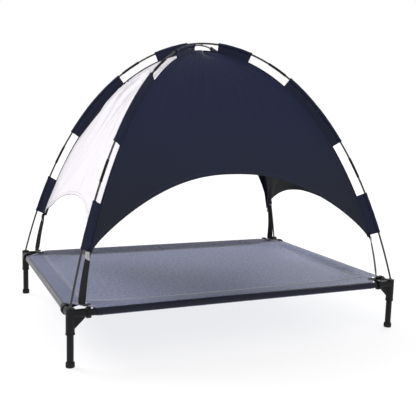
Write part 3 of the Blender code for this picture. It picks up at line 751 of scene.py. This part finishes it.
def deck_height(x, y):
    """Height of the deck cloth's middle: pulled down a little inside the rails, nearly flat beyond."""
    near_x = HALF_X - abs(x)
    near_y = HALF_Y - abs(y)
    corner = eased(math.hypot(near_x, near_y), 0.090, 0.230)
    drop = eased(near_x, 0.011, DECK_SEAMS[0] + 0.01) * eased(near_y, 0.011, DECK_SEAMS[1] + 0.01) * corner
    inside = max(1 - (x / HALF_X) ** 2, 0) * max(1 - (y / HALF_Y) ** 2, 0)
    drift = wave(x, y, 2.2, 3.0) * 0.0012 + wave(x, y, 7.0, 5.0) * 0.0005
    level = DECK_TOP - DECK_CLOTH / 2 - DECK_DROP * drop
    return level + (drift - DECK_SAG) * inside + hem_ripple(x, y) * corner


def channel_path(end):
    """(inset, height) round a rail from its top, outside and under, to a hem."""
    tip = (end, CHANNEL_R - UNDER_GAP)
    low = math.acos(CHANNEL_R / math.hypot(*tip))
    last = 2 * math.pi + math.atan2(tip[1], tip[0]) - low
    path = []
    for angle in np.linspace(math.pi / 2, last, WRAP_STEPS + 1)[1:]:
        path.append((CHANNEL_R * math.cos(angle), CHANNEL_R * math.sin(angle)))
    start = path[-1]
    for share in np.linspace(0, 1, 9)[1:]:
        path.append((start[0] + (tip[0] - start[0]) * share, start[1] + (tip[1] - start[1]) * share))
    return path


def add_channel(shape, edge, inward):
    """Wrap the cloth from an edge of the deck round its rail."""
    spots = [shape.points[index][:2] for index in edge]
    end = DECK_SEAMS[0 if inward[0] else 1] + SEAM_TO_END
    first = edge
    travel = 0.0
    before = (0.0, CHANNEL_R)
    along = [0.0]
    for a, b in zip(spots, spots[1:]):
        along.append(along[-1] + math.hypot(b[0] - a[0], b[1] - a[1]))
    for number, (inset, height) in enumerate(channel_path(end)):
        row = []
        for place, (x, y) in zip(along, spots):
            pucker = wave(place, number * 0.12, 55.0, 9.0) * 0.00045
            to_end = min(place, along[-1] - place)
            swing = math.sin(to_end * 620 + wave(number, 0, 0.3, 2.0))
            pucker += 0.0011 * math.exp(-to_end / 0.018) * swing
            joint = 0.0010 * math.exp(-((x / 0.0035) ** 2)) if inward[1] else 0.0
            shift = pucker - joint if number < WRAP_STEPS else 0.0
            scale = 1 + shift / CHANNEL_R
            px = x + inward[0] * inset * scale
            py = y + inward[1] * inset * scale
            pz = RAIL_Z + height * scale
            under = deck_height(px, py) - UNDER_GAP
            share = max((inset - 0.02) / (end - 0.02), 0)
            row.append((px, py, pz + min(under - pz, 0) * share))
        step = math.hypot(inset - before[0], height - before[1])
        second = shape.row(row)
        # long rails' channels get the painted shade material, short ones the glossier end material
        shade_or_end_slot = END_SLOT if inward[0] else SIDE_SHADE_SLOT
        slot = shade_or_end_slot if number < SEEN_STEPS else UNDER_SLOT
        shape.strip(first, second, along, -travel, -travel - step, slot=slot)
        travel += step
        before = (inset, height)
        first = second


def deck_lines(half, inset, extra=()):
    """Grid places across the deck, with lines at the stitching and at each corner cut."""
    cut = half - DECK_CUT
    seam = half - inset
    low, high = min(cut, seam), max(cut, seam)
    outer = spaced(low - 0.042, low, 0.003) + [high] + spaced(high, half, 0.008)[1:]
    inner = outer[0]
    middle = spaced(-inner, inner, 0.010)[1:-1]
    middle = [value for value in middle if all(abs(value - x) > 0.004 for x in extra)]
    return sorted([-value for value in outer] + middle + list(extra) + outer)


def build_deck():
    """Deck cloth with its channels and stitching."""
    shape = Shape()
    ys = deck_lines(HALF_Y, DECK_SEAMS[1])
    tuck = [TUCK_X + step for step in (-0.014, -0.010, -0.007, -0.0035, 0, 0.0035, 0.007, 0.010, 0.014)]
    shares = [x / HALF_X for x in deck_lines(HALF_X, DECK_SEAMS[0], tuck)]
    rows = []
    for y in ys:
        reach = HALF_X - max(DECK_CUT - (HALF_Y - abs(y)), 0)
        rows.append(shape.row([(share * reach, y, deck_height(share * reach, y)) for share in shares]))
    lines = list(zip(ys, rows))
    for (low, first), (high, second) in zip(lines, lines[1:]):
        places = [shape.points[index][0] for index in first]
        shape.strip(first, second, places, low, high)
    for number, corners in enumerate(shape.faces):
        x, y, _ = sum((Vector(shape.points[index]) for index in corners), Vector()) / 4
        if abs(x) > HALF_X - DECK_SEAMS[0] or abs(y) > HALF_Y - DECK_SEAMS[1]:
            # the rear hem band takes the painted shade material, the other bands the hem material
            shape.slots[number] = REAR_SHADE_SLOT if y > HALF_Y - DECK_SEAMS[1] else HEM_SLOT
    inner = [row for y, row in lines if abs(y) <= HALF_Y - DECK_CUT + 1e-6]
    add_channel(shape, rows[0], (0, 1))
    add_channel(shape, rows[-1], (0, -1))
    add_channel(shape, [row[0] for row in inner], (1, 0))
    add_channel(shape, [row[-1] for row in inner], (-1, 0))
    mats = [MATS[key] for key in ("deck", "deck_side_painted_shade", "deck", "deck_hem", "deck_rear_painted_shade", "deck_end")]
    deck = shape.build("deck_cloth", mats)
    thicken(deck, DECK_CLOTH)
    settle(deck, "bed_frame", "deck_cloth", "deck_fabric")
    seams = deck_stitching()
    flaps = [math.pi * CHANNEL_R + seam + SEAM_TO_END for seam in DECK_SEAMS]
    area = 4 * HALF_X * HALF_Y - 2 * DECK_CUT ** 2
    area += 4 * flaps[1] * (HALF_X - DECK_CUT) + 4 * flaps[0] * (HALF_Y - DECK_CUT)


def on_deck(x, y):
    """A stitching point on top of the deck cloth, with its normal."""
    return (x, y, deck_height(x, y) + DECK_CLOTH / 2), (0, 0, 1)


def deck_stitching():
    """Double rows of stitches that close the channels, and edge rows at the cut corners."""
    lines = []
    for shift in (-0.0045, 0.0045):
        reach_x = HALF_X - DECK_SEAMS[0] - shift
        reach_y = HALF_Y - DECK_SEAMS[1] - shift
        for side in (-1, 1):
            lines.append([on_deck(x, side * reach_y) for x in spaced(-reach_x, reach_x, 0.006)])
            lines.append([on_deck(side * reach_x, y) for y in spaced(-reach_y, reach_y, 0.006)])
    for signs in CORNERS.values():
        for inset in (0.006, 0.011):
            line = []
            for share in spaced(0.10, 0.90, 0.1):
                a = DECK_CUT * share
                x = signs[0] * (HALF_X - a - inset * 0.707)
                y = signs[1] * (HALF_Y - (DECK_CUT - a) - inset * 0.707)
                line.append(on_deck(x, y))
            lines.append(line)
    seams = stitched("deck_stitching", lines, MATS["deck_thread"], length=0.0036, radius=0.0009)
    return settle(seams, "bed_frame", "deck_cloth")


def build_studs():
    """Press studs on the deck and snap caps on the straps."""
    under = -0.0015    # the stud's washer, below the deck's top
    stud = [
        (0, under - 0.0017), (0.0060, under - 0.0017), (0.0068, under - 0.0012), (0.0068, under - 0.0004),
        (0.0025, under - 0.0004), (0.0025, 0.0002), (0.0066, 0.0003), (0.0068, 0.0007), (0.0060, 0.0013),
        (0.0030, 0.0013), (0.0024, 0.0022), (0.0030, 0.0044), (0.0028, 0.0055), (0.0018, 0.0060), (0, 0.0060),
    ]
    top = 0.0037
    cap = [
        (0, 0.0064), (0.0034, 0.0064), (0.0035, top), (0.0074, top), (0.0078, top + 0.0004),
        (0.0078, top + 0.0016), (0.0071, top + 0.0024), (0.0060, top + 0.0026), (0.0052, top + 0.0030),
        (0.0030, top + 0.0036), (0, top + 0.0038),
    ]
    for corner, signs in CORNERS.items():
        spot = on_diagonal(signs, HALF_DIAGONAL - STUD_INSET, DECK_TOP)
        piece = turned(f"{corner}_stud", stud, [MATS["stud"]], spot, sides=32, sharp=50)
        settle(piece, "bed_frame", "stud_steel", f"{corner}_deck_stud")
        piece = turned(f"{corner}_snap_cap", cap, [MATS["stud"]], spot, sides=32, sharp=50)
        settle(piece, "canopy", "stud_steel", f"{corner}_strap_snap")


# ---- poles ----------------------------------------------------------------

def pole_frame(side, arc):
    """Centre (s, z) and outward normal of a pole at an arc from its first foot."""
    mirrored = arc > HALF_ARC
    s, z, normal = arm_point(2 * HALF_ARC - arc if mirrored else arc)
    turn = -1 if mirrored else 1
    return (turn * s, lifted(z, side)), (turn * normal[0], normal[1])


def pole_pipe(name, pole, profile, mat, sides=20, step=0.012):
    """Turn a closed profile of (radius, arc) round a pole's axis."""
    near_corner, side = pole
    stops = [profile[0]]
    for (r0, arc0), (r1, arc1) in zip(profile, profile[1:] + profile[:1]):
        cuts = max(int(abs(arc1 - arc0) / step), 1)
        for k in range(1, cuts + 1):
            share = k / cuts
            stops.append((r0 + (r1 - r0) * share, arc0 + (arc1 - arc0) * share))
    stops = stops[:-1]
    shape = Shape()
    rings = []
    turns = [2 * math.pi * k / sides for k in range(sides)]
    for radius, arc in stops:
        spot, normal = pole_frame(side, arc)
        ring = [beside(CORNERS[near_corner], spot, normal, radius * math.cos(turn), radius * math.sin(turn))
                for turn in turns]
        rings.append((shape.row(ring), arc))
    around = [2 * math.pi * ROD_R * k / sides for k in range(sides + 1)]
    shape.strips(rings + rings[:1], around, closed=True)
    return shape.build(name, [mat], sharp=45)


def build_poles():
    """Both poles: five sections with ferrules, and the elastic inside."""
    far = [2 * HALF_ARC - arc for arc in reversed(FERRULE_ARCS)]
    inner_joints = [*FERRULE_ARCS, *far]
    gap = 0.0002
    starts = [-PIN_DEPTH] + [joint + gap for joint in inner_joints]
    ends = [joint - gap for joint in inner_joints] + [2 * HALF_ARC + PIN_DEPTH]
    bore = ROD_R + 0.00003
    for letter, pole in (("a", ("front_left", -1)), ("b", ("front_right", 1))):
        for number, (start, end) in enumerate(zip(starts, ends), 1):
            rod = eased_side(ROD_R, start, end, 0.0006) + [(ROD_BORE_R, end), (ROD_BORE_R, start)]
            piece = pole_pipe(f"pole_{letter}_rod_{number}", pole, rod, MATS["rod"])
            settle(piece, "canopy", "pole_fibreglass", f"pole_{letter}_section_{number}")
        for number, joint in enumerate(inner_joints, 1):
            low, high = joint - FERRULE_HALF, joint + FERRULE_HALF
            ring = [(bore + 0.0004, low), (FERRULE_R - 0.0002, low + 0.001), (FERRULE_R, low + 0.002)]
            ring += [(FERRULE_R, high - 0.002), (FERRULE_R - 0.0002, high - 0.001), (bore + 0.0004, high)]
            ring += [(bore, high), (bore, low)]
            piece = pole_pipe(f"pole_{letter}_ferrule_{number}", pole, ring, MATS["ferrule"])
            settle(piece, "canopy", "pole_fibreglass")
        start, end = 0.004 - PIN_DEPTH, 2 * HALF_ARC + (PIN_DEPTH - 0.004)
        cord = [(0.0011, start), (0.0011, end), (0.0004, end), (0.0004, start)]
        piece = pole_pipe(f"pole_{letter}_elastic", pole, cord, MATS["elastic"], sides=10)
        settle(piece, "canopy", "elastic_cord", f"pole_{letter}_elastic_cord")


# ---- canopy cloth ---------------------------------------------------------

def arch_arc(t, arch):
    """Where the arched lower edge lies, as an arc along the ridge seam."""
    top, roundness, squareness = arch
    fall = max(1 - abs(t) ** roundness, 0)
    return TIP_ARC - TIP_POINT * max(abs(t) - 0.96, 0) / 0.04 + (top - TIP_ARC) * fall ** squareness


def panel_half(arc, arch):
    """Half a panel's width at an arc along the ridge seam."""
    return seam_point(arc)[0] * (HALF_Y if arch is ARCH_SIDE else HALF_X) / HALF_DIAGONAL


def arch_slope(t, arch):
    """How much longer a hem is along a column than straight across it."""
    step = 0.004
    low = max(t - step, -1)
    high = min(t + step, 1)
    rise = (arch_arc(high, arch) - arch_arc(low, arch)) / (high - low)
    return min(math.hypot(1, rise / panel_half(arch_arc(t, arch), arch)), 3.0)


def above_hem(t, arch, share):
    """The arc at a share of the hem's width above the arched edge."""
    return arch_arc(t, arch) + share * HEM_WIDTH * arch_slope(t, arch)


def panel_folds(t, arc, arch):
    """Pull folds from the corners, puckers along the seams, a slight draw inwards."""
    side = arch is ARCH_SIDE
    fans, pull_depth = (15, 0.0062) if side else (10, 0.0030)
    pucker_depth = 0.0012
    slack_depth = 0.0024
    draw_depth = 0.016
    crown_depth = 0.0048
    fold_depth = 0.0125 if side else 0.001875
    edge_depth = 0.0012
    half = panel_half(arc, arch)
    seed = (11.0 if t < 0 else 17.0) + (40.0 if side else 0.0)
    to_seam = (1 - abs(t)) * half
    above_tip = arc - TIP_ARC
    reach = math.hypot(to_seam, above_tip)
    angle = math.atan2(to_seam, above_tip + 1e-6)
    fan = math.sin(fans * angle + 1.5 * wave(reach, angle, 6.0, seed) + 0.4)
    pull = pull_depth * math.exp(-reach / 0.18) * fan * min(reach / 0.05, 1)
    pucker = pucker_depth * math.exp(-to_seam / 0.022) * wave(arc, 0, 26.0, seed) * min(to_seam / 0.006, 1)
    slack = wave(t * half, arc, 4.0, seed) * slack_depth * (1 - t * t)
    below_top = HALF_ARC - arc
    top_share = min(max(below_top / (HALF_ARC - TIP_ARC), 0), 1)
    draw = -draw_depth * (1 - t * t) * math.sin(math.pi * top_share) ** 0.7
    spread = math.atan2(t * half, below_top + 0.004)
    crown = crown_depth * math.exp(-((below_top - 0.07) / 0.055) ** 2) * math.sin(9 * spread + seed)
    crease = math.sin(24 * spread + 4 * wave(below_top, spread, 4.0, seed) + seed)
    long_fold = fold_depth * math.exp(-((below_top - 0.36) / 0.26) ** 2) * (1 - abs(crease)) ** 3.5
    edge = edge_depth * math.exp(-(arc - arch_arc(t, arch)) / 0.03) * wave(t * half, 0, 14.0, seed + 4)
    loose = slack + edge + crown + long_fold
    return pull + pucker + loose * min(to_seam / 0.04, 1) + draw


def panel_point(t, arc, facing, arch, offset=0.0):
    """A point of a panel, and its outward normal."""
    along_x, sign = facing
    s, z, normal = seam_point(arc)
    out_reach = s * (HALF_X if along_x else HALF_Y) / HALF_DIAGONAL
    side_reach = s * (HALF_Y if along_x else HALF_X) / HALF_DIAGONAL
    ratio = (HALF_X if along_x else HALF_Y) / HALF_DIAGONAL
    slope = Vector((normal[0], normal[1] * ratio)).normalized()
    push = offset + panel_folds(t, arc, arch)
    out = sign * (out_reach + push * slope.x)
    up = z + push * slope.y
    side = t * side_reach
    if along_x:
        return Vector((out, side, up)), Vector((sign * slope.x, 0, slope.y))
    return Vector((side, out, up)), Vector((0, sign * slope.x, slope.y))


def panel_columns(arch):
    """Places across a panel, closer together near the seams."""
    step = 1 / 64 if arch is ARCH_SIDE else 1 / 48
    return [math.copysign(1 - (1 - abs(u)) ** 1.25, u) for u in spaced(-1, 1, step)]


def build_panel(name, facing, arch, mats, thread_mat):
    """One canopy panel with a folded hem along its arched edge."""
    top = HALF_ARC - 0.0015
    shape = Shape()
    rows = []
    columns = panel_columns(arch)
    depth = 0.0013
    hem = [(1.0, -depth, 1), (0.5, -depth, 1), (0.06, -depth * 0.9, 1), (0.0, -depth * 0.5, 1)]
    hem += [(share, 0.0, 0) for share in (0.04, 0.25, 0.6, 1.0, 1.5)]
    for share, offset, slot in hem:
        points = [panel_point(t, above_hem(t, arch, share), facing, arch, offset)[0] for t in columns]
        rows.append((shape.row(points), slot, share * HEM_WIDTH - (0.03 if slot else 0)))
    count = 72
    for k in range(1, count + 1):
        points = []
        for t in columns:
            low = above_hem(t, arch, 1.5)
            points.append(panel_point(t, low + (top - low) * k / count, facing, arch)[0])
        rows.append((shape.row(points), 0, 0.02 + 0.9 * k / count))
    width = HALF_Y if arch is ARCH_SIDE else HALF_X
    across = [t * width for t in columns]
    for (first, slot, low), (second, _, high) in zip(rows, rows[1:]):
        shape.strip(first, second, across, low, high, slot=slot)
    panel = shape.build(name, mats)
    outward = panel_point(0, HALF_ARC * 0.7, facing, arch)[1]
    middle = panel.data.polygons[len(panel.data.polygons) // 2]
    if middle.normal.dot(outward) < 0:
        panel.data.flip_normals()
    thicken(panel, CLOTH, material_offset=1)
    lines = []
    for share in (0.18, 0.86):
        lines.append([panel_point(t, above_hem(t, arch, share), facing, arch, CLOTH / 2)
                      for t in spaced(-0.985, 0.985, 0.02)])
    for end in (-1, 1):
        arcs = spaced(arch_arc(0.97, arch) + HEM_WIDTH, HALF_ARC - 0.06, 0.02)
        lines.append([panel_point(end * (1 - 0.006 / panel_half(arc, arch)), arc, facing, arch, CLOTH / 2)
                      for arc in arcs])
    seams = stitched(f"{name}_stitching", lines, thread_mat)
    settle(seams, "canopy", "canopy_sleeve")
    return panel, seams


def build_panels():
    """The four panels of the canopy, with all that is sewn to them and the painted shade bands by the rear
    ridges.
    """
    build_ridge_seams()
    build_inner_tapes()
    build_sleeves()
    build_rear_shade_bands()
    for side, facing, arch, kind in (
        ("front", (False, -1), ARCH_FRONT, "navy"),
        ("rear", (False, 1), ARCH_REAR, "navy"),
        # the side panels carry the painted glare on their outside
        ("left", (True, -1), ARCH_SIDE, "pale"),
        ("right", (True, 1), ARCH_SIDE, "pale"),
    ):
        mats = [MATS[kind], MATS["navy_inside"], MATS["navy_inside"]]
        thread_mat = MATS["dark_thread" if kind == "navy" else "pale_thread"]
        panel, seams = build_panel(f"{side}_panel_cloth", facing, arch, mats, thread_mat)
        settle(panel, "canopy", f"canopy_{kind}", f"canopy_{side}_panel")


def build_rear_shade_bands():
    """Painted shade: a navy band on the side panels along the rear ridges, with an uneven edge, standing in
    for the shade beside the middle sleeves.
    """
    start, end = 0.56, 0.90
    for name, sign in (("left", -1), ("right", 1)):
        shape = Shape()
        rows = []
        for arc in spaced(start, end, 0.006):
            swell = math.sin(math.pi * (arc - start) / (end - start)) ** 0.7
            width = 0.004 + 0.027 * swell * (1 + 0.95 * wave(arc, 0, 12.0, 71.0))
            half = panel_half(arc, ARCH_SIDE)
            spots = [panel_point(1 - width * part / half, arc, (True, sign), ARCH_SIDE, 0.0011)[0]
                     for part in (0.0, 0.25, 0.5, 0.75, 1.0)]
            rows.append((shape.row(spots), arc))
        shape.strips(rows, [0, 0.004, 0.008, 0.012, 0.016])
        shade_band = shape.build(f"{name}_rear_binding", [MATS["sleeve"]])
        thicken(shade_band, 0.0006)
        settle(shade_band, "canopy", "canopy_sleeve")


def build_ridge_seams():
    """Seam allowances of the panels, standing along each ridge."""
    height = 0.0042
    flats = [0, 0.001, 0.005, 0.01, 0.011, 0.015, 0.02]
    for corner, signs in CORNERS.items():
        shape = Shape()
        rings = []
        for arc in spaced(TIP_ARC + 0.002, HALF_ARC - 0.003, 0.008):
            s, z, normal = seam_point(arc)
            half = 0.0009 + 0.0002 * wave(arc, 0, 60.0, 31.0)
            outline = [(-0.0012, -half), (-0.0012, half), (height * 0.5, half * 0.9), (height, half)]
            outline += [(height, -half), (height * 0.5, -half * 0.9)]
            ring = []
            for out, across in outline:
                sway = 0.0008 * wave(arc, 0, 22.0, 37.0) * max(out, 0) / height
                ring.append(beside(signs, (s, z), normal, out, across + sway))
            rings.append((shape.row(ring), arc))
        shape.loft(rings, flats)
        tape = shape.build(f"{corner}_ridge_seam", [MATS["sleeve"]], sharp=50)
        settle(tape, "canopy", "canopy_sleeve")


def build_inner_tapes():
    """Binding tape folded over each ridge seam on the inside."""
    reach = 0.0085
    thick = 0.0006
    flats = [0, 0.0085, 0.017, 0.018, 0.0265, 0.035, 0.036]
    for corner, signs in CORNERS.items():
        long_side = signs[0] * signs[1]
        wings = []
        for side, share in ((long_side, HALF_Y), (-long_side, HALF_X)):
            lateral = share / HALF_DIAGONAL
            wings.append((side * lateral * reach, math.sqrt(1 - lateral ** 2) * reach))
        (across_a, deep_a), (across_b, deep_b) = wings
        shape = Shape()
        rings = []
        for arc in spaced(TIP_ARC + 0.010, HALF_ARC - 0.012, 0.010):
            s, z, normal = seam_point(arc)
            gap = 0.0012 + 0.0003 * wave(arc, 0, 40.0, 43.0)
            near, far = ([(across_a, deep_a + depth), (0.0, depth), (across_b, deep_b + depth)]
                         for depth in (gap, gap + thick))
            ring = [beside(signs, (s, z), normal, -depth, across) for across, depth in near + far[::-1]]
            rings.append((shape.row(ring), arc))
        shape.loft(rings, flats)
        tape = shape.build(f"{corner}_inner_tape", [MATS["sleeve"]], sharp=50)
        settle(tape, "canopy", "canopy_sleeve")


def sleeve_loops(fin, arc, seed):
    """Outer and inner loops (out, across) of a sleeve with its sewn fin."""
    root = 0.0062          # where the fin leaves the sleeve
    inner_root = 0.0047
    thick = 0.0008
    shares = (1.0, 0.66, 0.33)
    fins = []
    for share in shares:
        sway = 0.0016 * wave(arc, share, 19.0, seed) * math.sin(math.pi * share)
        fins.append((-root - (fin - root) * share, sway))
    outer = [(out, sway - 0.0007) for out, sway in fins]
    inner = [(-inner_root, -0.0004 * share) for share in shares]
    for turn in np.linspace(14, 346, 19):
        angle = math.radians(turn)
        loose = 0.0061 + 0.0006 * noise.noise(Vector((arc * 45, turn / 60, seed)))
        loose += 0.0004 * noise.noise(Vector((arc * 14, turn / 130, seed + 5)))
        for loop, radius in ((outer, loose), (inner, loose - thick)):
            loop.append((-radius * math.cos(angle), -radius * math.sin(angle)))
    outer += [(out, sway + 0.0007) for out, sway in reversed(fins)]
    inner += [(-inner_root, 0.0004 * share) for share in reversed(shares)]
    return outer, inner


def build_sleeve(name, corner, side, start, end):
    """A sewn pole sleeve with hemmed mouths."""
    signs = CORNERS[corner]
    shape = Shape()
    rows = []
    seed = 3.0 * list(CORNERS).index(corner) + start
    hem = 0.008
    stops = [start, start + 0.0006, start + hem, start + hem + 0.0008]
    stops += spaced(start + 0.016, end - 0.016, 0.009) + [end - hem - 0.0008, end - hem, end - 0.0006, end]
    for number, arc in enumerate(stops):
        s, z, normal = arm_point(arc)
        swell = side * POLE_SPREAD * (z - POST_TOP) / POLE_RISE * normal[1]
        loops = sleeve_loops(seam_drop(arc) - 0.0015 + swell, arc, seed)
        from_mouth = min(number, len(stops) - 1 - number)
        grow = 1.10 if from_mouth <= 2 else 1.0
        trim = 0.97 if from_mouth == 0 else 1.0
        made = []
        for loop, is_outer in zip(loops, (True, False)):
            ring = []
            for out, across in loop:
                factor = (grow if out > -0.0063 else 1.0) * trim if is_outer else 1.0
                ring.append(beside(signs, (s, lifted(z, side)), normal, out * factor, across * factor))
            made.append((shape.row(ring), arc))
        rows.append(made)
    outer, inner = zip(*rows)
    around = [0.0025 * k for k in range(len(outer[0][0]) + 1)]
    shape.strips(outer, around, closed=True)
    shape.strips(inner, around, closed=True)
    for mouth in (0, -1):
        shape.strip(outer[mouth][0], inner[mouth][0], around, 0, 0.001, closed=True)
    piece = shape.build(name, [MATS["sleeve"]], sharp=60)
    lines = []
    for across in (-0.0010, 0.0010):
        up = on_diagonal(signs, 0, 0, math.copysign(1, across))
        for inset in (0.0025, 0.0065):
            line = []
            for arc in spaced(start + 0.003, end - 0.003, 0.01):
                s, z, normal = arm_point(arc)
                line.append((beside(signs, (s, lifted(z, side)), normal, -0.0066 - inset, across), up))
            lines.append(line)
    return piece, lines


def build_sleeves():
    """Three sleeves on each arm of both poles."""
    lines = []
    for corner in CORNERS:
        side = -1 if corner in ("front_left", "rear_right") else 1
        for place, (start, end) in SLEEVE_ARCS.items():
            piece, rows = build_sleeve(f"{corner}_{place}_sleeve_cloth", corner, side, start, end)
            settle(piece, "canopy", "canopy_sleeve", f"{corner}_{place}_sleeve")
            lines += rows
    seams = stitched("sleeve_stitching", lines, MATS["dark_thread"], pitch=0.0045)
    settle(seams, "canopy", "canopy_sleeve")


# ---- straps ---------------------------------------------------------------

def strap_path():
    """Middle line (s, z) of a strap, from the canopy down to its tab, with its twist share."""
    tip_s, tip_z, _ = seam_point(TIP_ARC)
    tab_z = DECK_TOP + TAB_LIFT
    foot_s = HALF_DIAGONAL - STRAP_INSET
    bend = 0.007
    top = Vector((tip_s - 0.0030, tip_z + 0.022))
    knee = Vector((tip_s + 0.0020, tip_z - 0.004))
    foot = Vector((foot_s, tab_z + bend))
    path = [(top.lerp(knee, share), 0.0) for share in np.linspace(0, 1, SEWN_STEPS)]
    for share in np.linspace(0, 1, FREE_STEPS + 1)[1:]:
        spot = knee.lerp(foot, share)
        spot.x += 0.0022 * math.sin(math.pi * share)
        path.append((spot, 1 - (2 * share - 1) ** 8))
    for turn in np.linspace(0, math.pi / 2, 8)[1:]:
        spot = Vector((foot_s - bend + bend * math.cos(turn), tab_z + bend - bend * math.sin(turn)))
        path.append((spot, 0.0))
    end_s = HALF_DIAGONAL - STUD_INSET - 0.013
    for share in np.linspace(0, 1, 6)[1:]:
        path.append((Vector((foot_s - bend + (end_s - foot_s + bend) * share, tab_z)), 0.0))
    return path


def build_strap(corner, signs, twist, sway):
    """Flat webbing with rolled edges, sewn to the canopy's corner."""
    path = strap_path()
    shape = Shape()
    half = STRAP_WIDTH / 2
    section = []
    for side in (1, -1):
        section += [(side, across * (half - 0.0004)) for across in np.linspace(-side, side, 9)]
        section.append((0, side * half))
    around = [0.0]
    for a, b in zip(section, section[1:] + section[:1]):
        around.append(around[-1] + max(abs(b[1] - a[1]), 0.0004))
    rings = []
    travel = 0.0
    frames = []
    for index, (spot, turned_by) in enumerate(path):
        before = path[max(index - 1, 0)][0]
        ahead = (path[min(index + 1, len(path) - 1)][0] - before).normalized()
        normal = Vector((ahead.y, -ahead.x))
        share = min(index / (SEWN_STEPS + FREE_STEPS), 1)
        gather = STRAP_GATHER + (1 - STRAP_GATHER) * share
        shift = sway * math.sin(math.pi * (0.25 + 0.75 * share))
        frames.append((spot, normal, gather))
        angle = math.radians(twist) * turned_by
        ring = []
        for side, across in section:
            out = side * STRAP_THICK / 2 * math.cos(angle) - across * gather * math.sin(angle)
            over = side * STRAP_THICK / 2 * math.sin(angle) + across * gather * math.cos(angle)
            ring.append(on_diagonal(signs, *(spot + normal * out), over + shift))
        travel += (spot - before).length
        rings.append((shape.row(ring), travel))
    shape.loft(rings, around)
    strap = shape.build(f"{corner}_strap_webbing", [MATS["webbing"]], sharp=60)
    settle(strap, "canopy", "strap_webbing", f"{corner}_strap")
    lines = []
    for across in (-half + 0.003, half - 0.003):
        for picked in (frames[:5], frames[-5:]):
            line = []
            for spot, normal, gather in picked:
                place = on_diagonal(signs, *(spot + normal * STRAP_THICK / 2), across * gather)
                line.append((place, on_diagonal(signs, *normal)))
            lines.append(line)
    return lines


def build_tab(corner, signs):
    """Pale loop between the sleeve's mouth and the strap, with its eyelet."""
    tip_s, tip_z, _ = seam_point(TIP_ARC)
    low, high = tip_z - 0.014, tip_z + 0.013
    shape = Shape()
    rings = []
    for number, share in enumerate(np.linspace(0, 1, 10)):
        z = low + (high - low) * share
        s = tip_s + 0.0040 + 0.0012 * math.sin(math.pi * share)
        half = 0.0092 - 0.0016 * share
        outline = ((0.0007, -half), (0.0007, half), (-0.0007, half), (-0.0007, -half))
        rings.append((shape.row([on_diagonal(signs, s + out, z, across) for out, across in outline]),
                      number * 0.003))
    shape.loft(rings, [0, 0.015, 0.0165, 0.0315, 0.033])
    settle(shape.build(f"{corner}_canopy_tab", [MATS["tab"]], sharp=50), "canopy", "strap_webbing")
    ring = [(0.0021, -0.0016), (0.0044, -0.0016), (0.0046, 0.0006)]
    ring += [(0.0038, 0.0014), (0.0027, 0.0014), (0.0021, 0.0006)]
    eyelet = turned(f"{corner}_tab_eyelet", ring, [MATS["stud"]], sides=28, sharp=50)
    turn = on_diagonal(signs, 1, 0).to_track_quat("Z", "Y").to_matrix().to_4x4()
    spot = on_diagonal(signs, tip_s + 0.0058, (low + high) / 2)
    eyelet.data.transform(Matrix.Translation(spot) @ turn)
    settle(eyelet, "canopy", "stud_steel")


def build_straps():
    """Corner straps with their box stitching."""
    lines = []
    for corner, signs in CORNERS.items():
        lines += build_strap(corner, signs, STRAP_TWISTS[corner], STRAP_SWAYS[corner])
        build_tab(corner, signs)
    seams = stitched("strap_stitching", lines, MATS["dark_thread"])
    settle(seams, "canopy", "strap_webbing")


# ---- studio ---------------------------------------------------------------

def add_sun(name, place, width, strength, colour):
    """A broad, soft lamp far away in one direction; width in degrees."""
    lamp = bpy.data.lights.new(name, "SUN")
    lamp.angle = math.radians(width)
    lamp.energy = strength
    lamp.color = colour
    placed(name, lamp).rotation_euler = (-Vector(place)).to_track_quat("-Z", "Y").to_euler()


def build_studio():
    """Pale floor and soft light."""
    shape = Shape()
    reach = 30.0
    shape.row([(-reach, -reach, 0), (reach, -reach, 0), (reach, reach, 0), (-reach, reach, 0)])
    shape.cap([0, 1, 2, 3])
    n = Nodes("pale_floor", 0.9, emission_strength=0.76, emission_color=(1, 1, 1, 1))
    n.paint(n.noise(n.place(), 0.8), rgba(136, 136, 137), rgba(140, 140, 141))
    floor = shape.build("floor", [n.mat])
    floor.location.z = -0.0002

    world = bpy.data.worlds.new("studio")
    world.use_nodes = True
    tree = world.node_tree
    back = tree.nodes["Background"]
    back.inputs["Color"].default_value = (1, 1, 1, 1)
    # the room looks white behind the object and lights it at AMBIENT strength
    rays = tree.nodes.new("ShaderNodeLightPath")
    level = tree.nodes.new("ShaderNodeMapRange")
    level.inputs["To Min"].default_value = AMBIENT
    tree.links.new(rays.outputs["Is Camera Ray"], level.inputs["Value"])
    tree.links.new(level.outputs[0], back.inputs["Strength"])
    bpy.context.scene.world = world
    add_sun("key", (-0.62, 0.85, 0.85), 32, 1.9, (1.0, 0.985, 0.96))
    add_sun("side", (0.95, 0.60, 0.42), 40, 1.25, (1.0, 1.0, 1.0))
    add_sun("fill", (0.5, -1.0, 0.9), 60, 0.4, (0.94, 0.96, 1.0))
    bpy.context.scene.view_settings.view_transform = "Standard"


def build_camera():
    """The camera, from its place, heading, drop and roll."""
    lens = bpy.data.cameras.new("camera")
    lens.lens = CAMERA_LENS
    lens.sensor_width = 36
    lens.clip_start = 0.05
    camera = placed("camera", lens)
    heading = Matrix.Rotation(-math.radians(CAMERA_AZIMUTH), 4, "Z")
    tilt = Matrix.Rotation(math.radians(90 - CAMERA_DROP), 4, "X")
    roll = Matrix.Rotation(math.radians(CAMERA_ROLL), 4, "Z")
    camera.matrix_world = Matrix.Translation(CAMERA_PLACE) @ heading @ tilt @ roll
    bpy.context.scene.camera = camera


def save_size():
    """Bring the view layer up to date."""
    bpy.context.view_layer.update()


build_camera()
build_studio()
build_legs()
build_connectors()
build_rails()
build_deck()
build_studs()
build_poles()
build_panels()
build_straps()
save_size()
